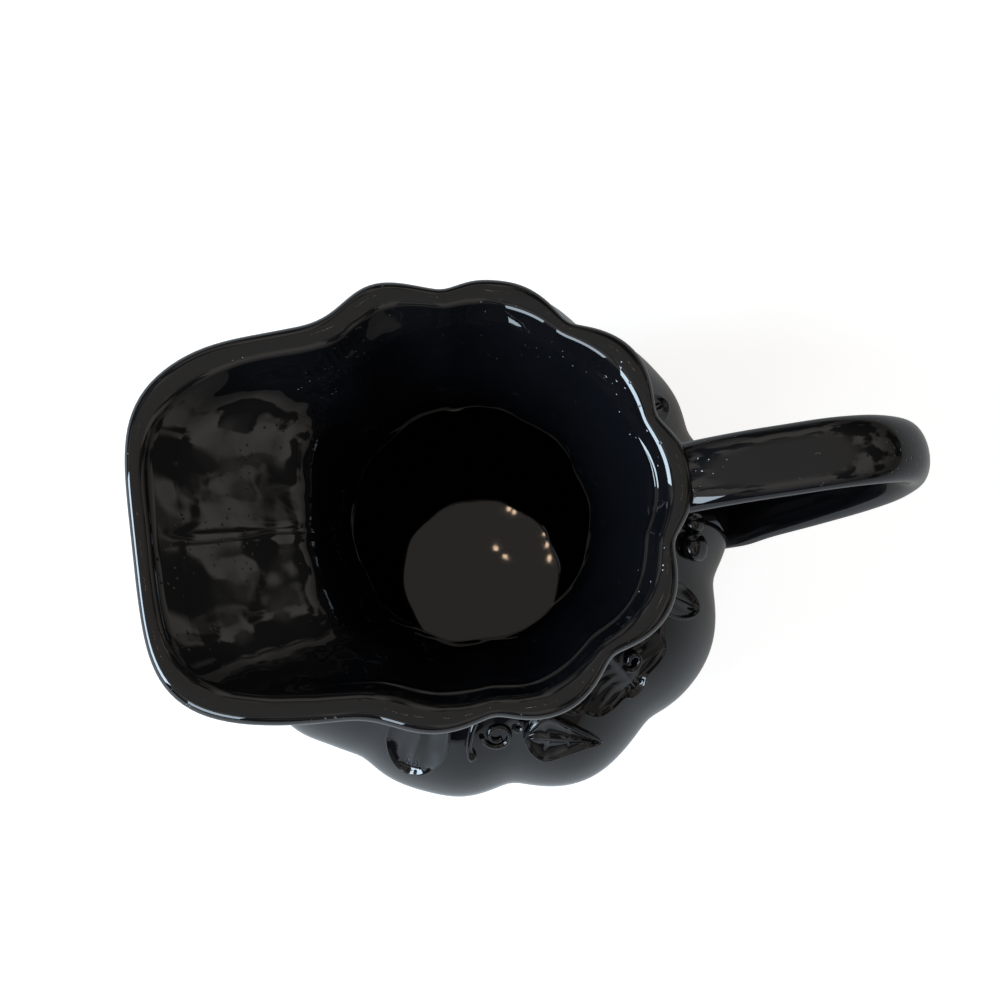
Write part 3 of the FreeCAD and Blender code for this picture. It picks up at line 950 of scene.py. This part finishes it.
@dataclass(frozen=True)
class Handle:
    """Strap handle, cast apart and luted on with slip, so its joints are softly filled."""

    waist_radius: float = 42 * MM
    belly_radius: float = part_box("belly")[1].x
    reach: float = 128 * MM
    top_height: float = 190.8 * MM
    root_height: float = 66 * MM
    half_width: float = 9.6 * MM
    root_half_width: float = 10.8 * MM
    half_thickness: float = 5.2 * MM
    offset: float = 0.7 * MM
    lean: float = 2 * MM
    fullness: float = 0.97
    # Soft filling at the joints: its swell, its run, and how many runs from each end it is fullest
    joint_swell: float = 0.06
    joint_run: float = 8 * MM
    neck_joint: float = 1.5
    root_joint: float = 1.9
    # Narrower place at the bend: its place and half length as shares of the strap, and how much narrower
    bend_place: float = 0.46
    bend_half: float = 0.10
    bend_narrowing: float = 0.10
    rows: int = 150
    columns: int = 56
    # Shares of the way out to the reach and of the way up from the root, from the neck and to the belly
    upper_arm: tuple = (
        (-0.022, 0.80), (0.193, 0.918), (0.337, 0.968), (0.507, 0.993), (0.695, 1.0), (0.866, 0.935),
        (0.973, 0.805), (1.0, 0.64),
    )
    lower_arm: tuple = ((0.88, 0.46), (0.62, 0.28), (0.33, 0.13), (0.08, 0.02), (-0.18, -0.075))

    def line(self) -> Piece:
        """Draws the centre line as a smooth curve.

        Returns:
            The line from the neck out, over and down to the belly.
        """
        arms = [(self.waist_radius, *point) for point in self.upper_arm]
        arms += [(self.belly_radius, *point) for point in self.lower_arm]
        data = bpy.data.curves.new("handle_line", "CURVE")
        data.dimensions = "3D"
        data.resolution_u = 24
        spline = data.splines.new("BEZIER")
        spline.bezier_points.add(len(arms) - 1)
        for point, (start, out_share, up_share) in zip(spline.bezier_points, arms):
            point.co = (between(start, self.reach, out_share), -self.offset - self.lean * (1 - up_share),
                        between(self.root_height, self.top_height, up_share))
            point.handle_left_type = point.handle_right_type = "AUTO"
        return link("handle_line", data)

    def strap_tree(self) -> Tree:
        """Sets full elliptical sections along the centre line.

        Returns:
            The tree, for points that carry their place along the line, their turn and the half sizes.
        """
        form = ShapeTree("strap_on_line", {"Line": "NodeSocketObject", "Fullness": "NodeSocketFloat"})
        line = add(form.tree, "GeometryNodeObjectInfo", {"Object": form.inputs["Line"]})
        sample = add(form.tree, "GeometryNodeSampleCurve", {
            "Curves": line.outputs["Geometry"], "Factor": form.stored("along"),
        }, mode="FACTOR", use_all_curves=True).outputs
        thick = form.out("ShaderNodeVectorMath", {0: (0, 1, 0), 1: sample["Tangent"]},
                         operation="CROSS_PRODUCT")
        upward = form.out("ShaderNodeVectorMath", {0: thick}, operation="NORMALIZE")
        sideward = form.out("ShaderNodeVectorMath", {0: sample["Tangent"], 1: upward},
                            operation="CROSS_PRODUCT")
        turn, full = form.stored("turn"), form.number("Fullness")
        spokes = []
        for axis, wave, size in ((sideward, "COSINE", "half_width"), (upward, "SINE", "half_thickness")):
            swing = turn.of(wave)
            reach = swing.of("ABSOLUTE") ** full * swing.of("SIGN") * form.stored(size)
            spokes.append(form.out("ShaderNodeVectorMath", {0: axis, "Scale": reach}, operation="SCALE"))
        spoke = form.out("ShaderNodeVectorMath", {0: spokes[0], 1: spokes[1]})
        place = form.out("ShaderNodeVectorMath", {0: sample["Position"], 1: spoke})
        return form.end(form.out("GeometryNodeSetPosition", {
            "Geometry": form.inputs["Geometry"], "Position": place}))

    def build(self, material: Finish, core: Piece) -> Piece:
        """Makes the strap and trims it inside the wall of the body.

        Args:
            material: Finish of the handle.
            core: Form up to the middle of the wall.

        Returns:
            The finished handle.
        """
        line = self.line()
        length = line.data.splines[0].calc_length()
        attributes = {name: [] for name in ("along", "turn", "half_width", "half_thickness")}
        for row in range(self.rows):
            along = row / (self.rows - 1)
            root = bell((1 - along) * length / self.joint_run - self.root_joint)
            neck = bell(along * length / self.joint_run - self.neck_joint)
            swell = 1 + self.joint_swell * max(root, neck)
            bend = 1 - self.bend_narrowing * bell((along - self.bend_place) / self.bend_half)
            closed = 0.0 if row in (0, self.rows - 1) else 1.0
            width = between(self.half_width, self.root_half_width, along ** 3) * swell * bend * closed
            attributes["along"] += [along] * self.columns
            attributes["turn"] += [TAU * column / self.columns for column in range(self.columns)]
            attributes["half_width"] += [width] * self.columns
            attributes["half_thickness"] += [self.half_thickness * swell * closed] * self.columns
        strap = make_object("strap_handle", [(along, 0.0, 0.0) for along in attributes["along"]],
                            grid_faces(self.rows, self.columns, turned=True), attributes=attributes)
        shape_with(strap, self.strap_tree(), {"Line": line, "Fullness": self.fullness, "Material": material})
        trim = strap.modifiers.new("trim_at_wall", "BOOLEAN")
        trim.operation = "DIFFERENCE"
        trim.solver = "EXACT"
        trim.object = core
        settle(strap)
        bpy.data.objects.remove(line)
        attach(strap, "root")
        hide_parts("handle")
        return strap


# Foot ring

@dataclass(frozen=True)
class FootRing:
    """Ring that the body stands on, turned and wiped clean of glaze."""

    height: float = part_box("foot_ring")[1].z
    radius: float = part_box("foot_ring")[1].x
    width: float = 7 * MM
    bevel: float = 1.4 * MM
    seat: float = 0.4 * MM
    columns: int = 160
    bevel_steps: int = 6

    def rounded(self, centre: float, start: float, end: float) -> list[tuple[float, float]]:
        """Points between the ends of a rounded lower edge.

        Args:
            centre: Radius of the ring at the middle of the rounding.
            start: First angle in degrees.
            end: Last angle in degrees.

        Returns:
            Radius and height of each point.
        """
        angles = [math.radians(between(start, end, step / self.bevel_steps))
                  for step in range(1, self.bevel_steps)]
        return [(centre + self.bevel * math.cos(angle), self.bevel * (1 - math.sin(angle)))
                for angle in angles]

    def build(self, material: Finish) -> Piece:
        """Makes the ring with worn, rounded lower edges.

        Args:
            material: Finish of the ring.

        Returns:
            The finished ring.
        """
        inner = self.radius - self.width
        top = self.height + self.seat
        profile = [(self.radius, top), (self.radius, self.bevel),
                   *self.rounded(self.radius - self.bevel, 0.0, 90.0),
                   *self.rounded(inner + self.bevel, 90.0, 180.0),
                   (inner, self.bevel), (inner, top), (self.radius, top)]
        angles = [-TAU * column / self.columns for column in range(self.columns)]
        points = [(radius * math.cos(angle), radius * math.sin(angle), height)
                  for radius, height in profile for angle in angles]
        ring = make_object("standing_ring", points, grid_faces(len(profile), self.columns))
        ring.data.materials.append(material)
        ring.modifiers.new("weld", "WELD").merge_threshold = TINY
        settle(ring)
        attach(ring, "root")
        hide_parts("foot_ring")
        return ring


# Relief on the shoulder, pressed in the mould

@dataclass(frozen=True)
class Outline:
    """A leaf: half its outline, as shares of the length and of the half width, and its place.

    The angle from the handle and the turn from the axis are in degrees, the base is a share of the way
    down the shoulder, and length and half width are shares of the base's distance from the axis.
    """

    name: str
    shares: tuple
    angle: float
    base: float
    length: float
    width: float
    cup: float
    turn: float = 0.0
    veins: int = 0


@dataclass(frozen=True)
class Bed:
    """One half of the shoulder: its side, the body, the relief's finish and the trees that lay it there."""

    side: Side
    surface: Piece
    material: Finish
    laying: Tree
    cords: Tree

    def name(self, piece: str) -> str:
        """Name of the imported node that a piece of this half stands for."""
        return f"{piece}_{self.side.name.lower()}"

    def angle(self, degrees: float) -> float:
        """Angle from the handle on this half, in radians."""
        return self.side.value * math.radians(degrees)


@dataclass(frozen=True)
class Relief:
    """Leaves, tendrils, stems and buds that lie on the shoulder, the same on both sides."""

    seam_radius: float = 49 * MM
    belly_radius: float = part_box("belly")[1].x
    start_height: float = 134 * MM
    leaf_thickness: float = 2.2 * MM
    border: float = 0.95 * MM
    outline_steps: int = 40
    rounded_shares: tuple = ((0.0, 0.0), (0.0, 0.62), (0.22, 0.94), (0.50, 1.0), (0.78, 0.78), (0.95, 0.38),
                             (1.0, 0.0))
    palm_shares: tuple = ((0.0, 0.0), (0.0, 0.70), (0.24, 1.0), (0.46, 0.92), (0.55, 0.82), (0.78, 0.70),
                          (0.86, 0.46), (0.87, 0.26), (0.97, 0.16), (1.0, 0.0))
    pointed_shares: tuple = ((0.0, 0.0), (0.10, 0.62), (0.30, 1.0), (0.52, 0.74), (0.75, 0.40),
                             (0.93, 0.14), (1.0, 0.0))
    leaves: tuple = (
        Outline("oval_leaf", rounded_shares, 27, 0.265, 0.278, 0.099, 0.5),
        Outline("palm_leaf", palm_shares, 51, 0.10, 0.381, 0.43, 0.6, turn=2, veins=5),
        Outline("pointed_leaf", pointed_shares, 84, 0.43, 0.38, 0.11, 0.6, turn=-72, veins=3),
        Outline("round_leaf", rounded_shares, 112, 0.232, 0.362, 0.172, 1.0, turn=3),
    )
    # A leaf from its edge in: distance in as a multiple of the border, greatest share of the way to the
    # midrib, and height as a share of the thickness. The last rings have no limit to their distance
    rings: tuple = (
        (0.0, 0.0, -0.45), (0.0, 0.0, 0.45), (0.25, 0.1, 0.86), (0.6, 0.2, 1.0), (1.0, 0.3, 0.92),
        (1.4, 0.4, 0.70), (1.9, 0.5, 0.55), (math.inf, 0.6, 0.48), (math.inf, 0.72, 0.45),
        (math.inf, 0.84, 0.50), (math.inf, 0.92, 0.66), (math.inf, 1.0, 0.74), (math.inf, 1.0, -0.45),
    )
    # Shares of the length that the midrib runs between, where the blade is hollowed and how wide, and the
    # depth of the hollow and height of the veins as shares of the thickness
    midrib: tuple = (0.10, 0.88)
    hollow_from: float = 0.3
    hollow_middle: float = 0.55
    hollow_half: float = 0.45
    hollow_depth: float = 0.5
    vein_height: float = 0.35
    vein_slant: float = 0.25
    vein_sharpness: int = 6
    # Name, angle, place down the shoulder, outer and inner share of the ring radius, turns and rise in mm
    coils: tuple = (
        ("tendril_ring", 91, 0.396, 1.0, 0.38, 1.35, 0.4),
        ("tendril_curl", 84.4, 0.352, 0.36, 0.26, 0.75, 0.4),
        ("tendril_on_leaf", 47, 0.374, 0.62, 0.30, 0.95, 1.9),
    )
    tendril_radius: float = 0.85 * MM
    tendril_end: float = 0.75
    ring_radius: float = 5 * MM
    ring_flatness: float = 0.8
    ring_steps: int = 36
    cord_sides: int = 14
    # Angle and place down the shoulder of points along the stem
    stem: tuple = ((97, 0.254), (98.4, 0.363), (99.0, 0.473), (98.0, 0.561))
    stem_radius: float = 1.5 * MM
    stem_rise: float = 0.4
    stem_steps: int = 24
    # The stem's thickness, and the swell, place and half length of its knob, as shares of radius and length
    stem_share: float = 0.78
    knob: tuple = (0.35, 0.93, 0.09)
    # Name, angle, place down the shoulder, half length and radius in mm
    buds: tuple = (("bud", 11.4, 0.528, 4.5, 3.5), ("bud_cap", 5.4, 0.528, 3.0, 2.7))
    bud_rise: float = 0.45
    bud_fullness: float = 0.85
    bud_pinch: tuple = (0.10, 0.16)
    bud_rows: int = 22
    bud_columns: int = 32

    def radius(self, share: float) -> float:
        """Distance from the axis at a share of the way down the shoulder."""
        return between(self.seam_radius, self.belly_radius, share)

    def laying_tree(self) -> Tree:
        """Tree that lays a form drawn in plan on the body."""
        form = ShapeTree("laid_on_body", {"Surface": "NodeSocketObject", "Start Height": "NodeSocketFloat"})
        return form.end(form.lay(form.inputs["Geometry"]))

    def cord_tree(self) -> Tree:
        """Turns a line drawn in plan into a round cord bedded in the body.

        Returns:
            The tree, for points that carry their share of the cord's radius.
        """
        form = ShapeTree("cord_on_body", {"Surface": "NodeSocketObject", "Start Height": "NodeSocketFloat",
                                          "Cord Radius": "NodeSocketFloat", "Cord Sides": "NodeSocketInt"})
        line = form.out("GeometryNodeMeshToCurve", {"Mesh": form.inputs["Geometry"]})
        thick = form.out("GeometryNodeSetCurveRadius", {"Curve": line, "Radius": form.stored("swell")})
        profile = form.out("GeometryNodeCurvePrimitiveCircle", {
            "Resolution": form.inputs["Cord Sides"], "Radius": form.inputs["Cord Radius"]})
        tube = form.out("GeometryNodeCurveToMesh", {
            "Curve": thick, "Profile Curve": profile, "Fill Caps": True, "Scale": form.stored("swell")})
        return form.end(form.lay(tube))

    def dress(self, piece: Piece, node: str, tree: Tree, bed: Bed, values: dict | None = None) -> Piece:
        """Shapes a piece of relief and puts it in the place of its node.

        Args:
            piece: Form drawn in plan.
            node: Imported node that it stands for.
            tree: Tree that lays it on the body.
            bed: Half of the shoulder that it lies on.
            values: Further inputs of the tree.

        Returns:
            The finished piece.
        """
        shape_with(piece, tree, {"Start Height": self.start_height, "Surface": bed.surface,
                                 "Material": bed.material, **(values or {})})
        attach(piece, "root")
        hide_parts(node)
        return piece

    def leaf_loop(self, leaf: Outline) -> list[tuple[float, float]]:
        """A leaf's outline as a smooth closed loop from the base around to the base.

        Args:
            leaf: The leaf with its half outline.

        Returns:
            Shares of the length and of the half width.
        """
        knots = [0.0]
        for (along, aside), (next_along, next_aside) in zip(leaf.shares, leaf.shares[1:]):
            knots.append(knots[-1] + math.hypot(next_along - along, next_aside - aside))
        steps = self.outline_steps
        places = [between(0.0, knots[-1], step / steps) for step in range(steps + 1)]
        half = list(zip(*(monotone(knots, values, places) for values in zip(*leaf.shares))))
        return half + [(along, -aside) for along, aside in half[-2:0:-1]]

    def leaf_height(self, leaf: Outline, rise: float, share: float, along: float) -> float:
        """Height of a point of a leaf over the body.

        Args:
            leaf: The leaf.
            rise: Height as a share of the thickness, before the hollow and the veins.
            share: Share of the way from the edge to the midrib.
            along: Share of the length.

        Returns:
            The height, below nought for the bedded underside.
        """
        height = rise * self.leaf_thickness
        if rise > 0 and share > self.hollow_from:
            inside = max(0.0, 1 - abs(share - self.hollow_middle) / self.hollow_half)
            height -= leaf.cup * self.leaf_thickness * self.hollow_depth * inside
            if leaf.veins:
                slant = along + self.vein_slant * (1 - share)
                ridge = max(0.0, math.cos(TAU * leaf.veins * slant)) ** self.vein_sharpness
                height += self.vein_height * self.leaf_thickness * ridge * inside
        return height

    def leaf(self, leaf: Outline, bed: Bed) -> Piece:
        """Makes one leaf with its raised border, hollow blade, midrib and veins.

        Args:
            leaf: Outline and place of the leaf.
            bed: Half of the shoulder that it lies on.

        Returns:
            The finished leaf.
        """
        base = self.radius(leaf.base)
        origin = Matrix.Rotation(bed.angle(leaf.angle), 2) @ Vector((base, 0.0))
        tilted = Matrix.Rotation(bed.angle(leaf.angle + leaf.turn), 2)
        loop = self.leaf_loop(leaf)
        points = []
        for inward, limit, rise in self.rings:
            for along, aside in loop:
                edge = Vector((along * leaf.length * base, aside * leaf.width * base))
                rib = Vector((between(*self.midrib, along) * leaf.length * base, 0.0))
                share = min(self.border * inward / (edge - rib).length, limit)
                place = origin + tilted @ edge.lerp(rib, share)
                points.append((*place, self.leaf_height(leaf, rise, share, along)))
        faces = grid_faces(len(self.rings), len(loop), turned=bed.side is Side.NEAR)
        node = bed.name(leaf.name)
        return self.dress(make_object(f"{node}_relief", points, faces), node, bed.laying, bed)

    def cord(self, node: str, line: Sequence[tuple], swell: Sequence[float], radius: float,
             bed: Bed) -> Piece:
        """Makes a cord along a line drawn in plan.

        Args:
            node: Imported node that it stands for.
            line: Places in plan with their rise.
            swell: Share of the radius at each place.
            radius: Radius of the cord.
            bed: Half of the shoulder that it lies on.

        Returns:
            The finished cord.
        """
        edges = [(number, number + 1) for number in range(len(line) - 1)]
        piece = make_object(f"{node}_relief", line, edges=edges, attributes={"swell": list(swell)})
        return self.dress(piece, node, bed.cords, bed, {"Cord Radius": radius, "Cord Sides": self.cord_sides})

    def coil(self, coil: tuple, bed: Bed) -> Piece:
        """Makes a tendril that winds in about its place on the shoulder.

        Args:
            coil: One line of the table of coils.
            bed: Half of the shoulder that it lies on.

        Returns:
            The finished tendril.
        """
        name, angle, share, outer, inner, turns, rise = coil
        place = self.radius(share)
        steps = round(self.ring_steps * turns)
        line = []
        for step in range(steps + 1):
            reach = between(outer, inner, step / steps) * self.ring_radius
            turn = TAU * turns * step / steps
            around = bed.angle(angle) + bed.side.value * reach * math.cos(turn) / place
            distance = place + reach * math.sin(turn) * self.ring_flatness
            line.append((distance * math.cos(around), distance * math.sin(around), rise * MM))
        swell = [between(1.0, self.tendril_end, step / steps) for step in range(steps + 1)]
        return self.cord(bed.name(name), line, swell, self.tendril_radius, bed)

    def stem_piece(self, bed: Bed) -> Piece:
        """Makes the short vine stem that comes out from under the neck and ends in a knob.

        Args:
            bed: Half of the shoulder that it lies on.

        Returns:
            The finished stem.
        """
        knots = range(len(self.stem))
        shares = [step / self.stem_steps for step in range(self.stem_steps + 1)]
        places = [between(0, knots[-1], share) for share in shares]
        angles = monotone(knots, [bed.angle(angle) for angle, _ in self.stem], places)
        radii = monotone(knots, [self.radius(share) for _, share in self.stem], places)
        line = [(radius * math.cos(angle), radius * math.sin(angle), self.stem_rise * self.stem_radius)
                for angle, radius in zip(angles, radii)]
        size, place, half = self.knob
        swell = [self.stem_share + size * bell((share - place) / half) for share in shares]
        return self.cord(bed.name("vine_stem"), line, swell, self.stem_radius, bed)

    def bud(self, bud: tuple, bed: Bed) -> Piece:
        """Makes a plump bud, pinched along its middle and rounded alike at both ends.

        Args:
            bud: One line of the table of buds.
            bed: Half of the shoulder that it lies on.

        Returns:
            The finished bud.
        """
        name, angle, share, half_length, radius = bud
        depth, half = self.bud_pinch
        turned = Matrix.Rotation(bed.angle(angle), 2)
        points = []
        for row in range(self.bud_rows + 1):
            turn = math.pi * row / self.bud_rows
            wide = math.sin(turn) ** self.bud_fullness if 0 < row < self.bud_rows else 0.0
            for column in range(self.bud_columns):
                around = TAU * column / self.bud_columns
                pinch = 1 - depth * bell(math.sin(around / 2 - math.pi / 4) / half)
                spot = turned @ Vector((self.radius(share) + radius * MM * wide * pinch * math.cos(around),
                                        bed.side.value * half_length * MM * math.cos(turn)))
                points.append((*spot, radius * MM * (self.bud_rise + wide * pinch * math.sin(around))))
        faces = grid_faces(self.bud_rows + 1, self.bud_columns, turned=bed.side is Side.FAR)
        node = bed.name(name)
        return self.dress(make_object(f"{node}_relief", points, faces), node, bed.laying, bed)

    def build(self, material: Finish, surface: Piece) -> list[Piece]:
        """Makes all the relief of both sides.

        Args:
            material: Finish of the relief.
            surface: Body that it lies on.

        Returns:
            The finished pieces.
        """
        trees = (self.laying_tree(), self.cord_tree())
        made = []
        for side in Side:
            bed = Bed(side, surface, material, *trees)
            made += [self.leaf(leaf, bed) for leaf in self.leaves]
            made += [self.coil(coil, bed) for coil in self.coils]
            made.append(self.stem_piece(bed))
            made += [self.bud(bud, bed) for bud in self.buds]
        return made


# Studio

@dataclass(frozen=True)
class Studio:
    """Pale floor, soft light and the camera that looks down into the mouth."""

    azimuth: float = -7.95
    elevation: float = 83.2
    roll: float = 0.19
    distance: float = 466.5 * MM
    target: tuple = (9.6 * MM, 7.2 * MM, 120 * MM)
    sensor: float = 36.0
    lens: float = 53.6
    clip_start: float = 0.01
    floor_half: float = 3.0
    floor_colour: str = "#bababa"
    floor_glow: float = 0.8
    # Shares of the white floor and backdrop that the gloss shows, low because the room it mirrors is dim
    floor_in_gloss: float = 0.11
    backdrop_in_gloss: float = 0.02
    # The dim room: its level at the horizon and at the ceiling, and the sines of the angles between which
    # it rises, its paler and darker patches, and the sines between which they calm down overhead
    room_colour: str = "#f3ece2"
    room_levels: tuple = (0.10, 0.52)
    room_rise: tuple = (0.05, 0.75)
    patch_scale: float = 2.6
    patch_edge: tuple = (0.44, 0.54)
    patch_levels: tuple = (0.16, 1.75)
    calm_rise: tuple = (0.62, 0.86)
    calm_level: float = 0.9
    lamp_aim: tuple = (0.0, 0.0, 0.15)
    # Name, place, width, depth, power in watts and colour
    windows: tuple = (
        ("window_left", (-1.9, -0.2, 0.88), 1.3, 1.0, 72, "#d8edff"),
        ("window_front", (-1.2, -1.7, 0.8), 0.9, 0.8, 20, "#dcefff"),
    )
    # Small ceiling lamps: places across and along the room, height, width, depth, power in watts and colour
    small_lamps: tuple = ((0.03, 0.20), (0.045, 0.18), (0.063, 0.268), (0.074, 0.260), (0.12, 0.215),
                          (0.124, 0.19), (0.128, 0.165))
    lamp_height: float = 2.3
    small_lamp: tuple = (8 * MM, 8 * MM, 0.004, "#ffdcb8")

    def camera(self) -> Piece:
        """Makes the camera at the photograph's angle.

        Returns:
            The camera.
        """
        azimuth = math.radians(self.azimuth)
        elevation = math.radians(self.elevation)
        back = Vector((math.sin(azimuth) * math.cos(elevation), -math.cos(azimuth) * math.cos(elevation),
                       math.sin(elevation)))
        right = Vector((math.cos(azimuth), math.sin(azimuth), 0.0))
        turned = Matrix.Rotation(math.radians(self.roll), 3, back)
        axes = Matrix((turned @ right, turned @ back.cross(right), back)).transposed().to_4x4()
        data = bpy.data.cameras.new("camera")
        data.sensor_width = self.sensor
        data.lens = self.lens
        data.clip_start = self.clip_start
        camera = link("camera", data)
        camera.matrix_world = Matrix.Translation(Vector(self.target) + back * self.distance) @ axes
        bpy.context.scene.camera = camera
        return camera

    def shown(self, tree: Tree, plain: Socket, white: Socket, in_gloss: float) -> Socket:
        """Shows white to the camera and through glass, a share of it in gloss, and what is plain otherwise.

        Args:
            tree: Tree of the floor or the world.
            plain: What lights the object.
            white: What the camera sees.
            in_gloss: Share of white that a gloss shows.

        Returns:
            The mixed shader.
        """
        path = add(tree, "ShaderNodeLightPath").outputs
        camera, through, gloss = (Term(tree, path[f"Is {kind} Ray"]) for kind in
                                  ("Camera", "Transmission", "Glossy"))
        seen = camera.of("MAXIMUM", through).of("MAXIMUM", gloss * in_gloss)
        return add(tree, "ShaderNodeMixShader", {0: seen, 1: plain, 2: white}).outputs[0]

    def floor(self) -> Piece:
        """Makes the pale floor, white to the camera with the pitcher's soft shadow.

        Returns:
            The floor.
        """
        half = self.floor_half
        corners = [(x * half, y * half, 0) for x, y in ((-1, -1), (1, -1), (1, 1), (-1, 1))]
        floor = make_object("studio_floor", corners, ((0, 1, 2, 3),))
        material = bpy.data.materials.new("matt_white_board")
        tree = empty_tree(material)
        board = add(tree, "ShaderNodeBsdfDiffuse", {"Color": linear(self.floor_colour)}).outputs[0]
        glow = add(tree, "ShaderNodeEmission", {"Color": WHITE, "Strength": self.floor_glow}).outputs[0]
        white = add(tree, "ShaderNodeAddShader", {0: board, 1: glow}).outputs[0]
        shown = self.shown(tree, board, white, self.floor_in_gloss)
        add(tree, "ShaderNodeOutputMaterial", {"Surface": shown})
        floor.data.materials.append(material)
        return floor

    def world(self) -> None:
        """Makes the surroundings: white to the camera, a dim room with a paler ceiling in the gloss."""
        world = bpy.data.worlds.new("studio")
        bpy.context.scene.world = world
        tree = empty_tree(world)
        way = add(tree, "ShaderNodeTexCoord").outputs["Generated"]
        up = add(tree, "ShaderNodeSeparateXYZ", {0: way}).outputs[2]
        noise = add(tree, "ShaderNodeTexNoise", {"Vector": way, "Scale": self.patch_scale, "Detail": 2.0})
        rises = ((up, self.room_rise, self.room_levels), (up, self.calm_rise, (0.0, 1.0)),
                 (noise.outputs[0], self.patch_edge, self.patch_levels))
        level, calm, patches = (
            Term(tree, add(tree, "ShaderNodeMapRange", {0: value, 1: start, 2: end, 3: low, 4: high},
                           interpolation_type="SMOOTHSTEP").outputs[0])
            for value, (start, end), (low, high) in rises)
        tone = add(tree, "ShaderNodeMix", {"Factor": calm, "A": patches, "B": self.calm_level},
                   data_type="FLOAT")
        room = add(tree, "ShaderNodeBackground", {
            "Color": linear(self.room_colour), "Strength": level * Term(tree, tone.outputs[0])})
        white = add(tree, "ShaderNodeBackground", {"Color": WHITE, "Strength": 1.0})
        shown = self.shown(tree, room.outputs[0], white.outputs[0], self.backdrop_in_gloss)
        add(tree, "ShaderNodeOutputWorld", {"Surface": shown})

    def lamp(self, name: str, place: tuple, width: float, depth: float, power: float, colour: str) -> Piece:
        """Hangs one soft lamp that faces the pitcher.

        Args:
            name: Name of the lamp.
            place: Where it hangs.
            width: Its width.
            depth: Its other size.
            power: Its power in watts.
            colour: Its sRGB hex colour.

        Returns:
            The lamp.
        """
        data = bpy.data.lights.new(name, "AREA")
        data.shape = "RECTANGLE"
        data.size = width
        data.size_y = depth
        data.energy = power
        data.color = linear(colour)[:3]
        lamp = link(name, data)
        away = Vector(self.lamp_aim) - Vector(place)
        lamp.matrix_world = Matrix.Translation(place) @ away.to_track_quat("-Z", "Y").to_matrix().to_4x4()
        return lamp

    def build(self) -> None:
        """Sets up camera, floor, surroundings and lamps."""
        self.camera()
        self.floor()
        self.world()
        for window in self.windows:
            self.lamp(*window)
        for number, (across, along) in enumerate(self.small_lamps):
            self.lamp(f"ceiling_lamp_{number}", (across, along, self.lamp_height), *self.small_lamp)
        bpy.context.scene.view_settings.view_transform = "Standard"


def report(pieces: Iterable[Piece]) -> None:
    """Logs each piece with its number of faces."""
    for piece in pieces:
        LOG.info("%s: %d faces", piece.name, len(piece.data.polygons))


def main() -> None:
    """Builds the pitcher and its studio."""
    logging.basicConfig(level=logging.INFO, format="%(message)s")
    glaze = BlackGlaze().material()
    clay = BareClay().material()
    body_form = Body()
    body = body_form.build(glaze)
    report([body])
    core = body_form.hollow()
    report([Handle().build(glaze, core)])
    bpy.data.objects.remove(core)
    report([FootRing().build(clay)])
    report(Relief().build(glaze, body))
    Studio().build()


if __name__ == "__main__":
    main()
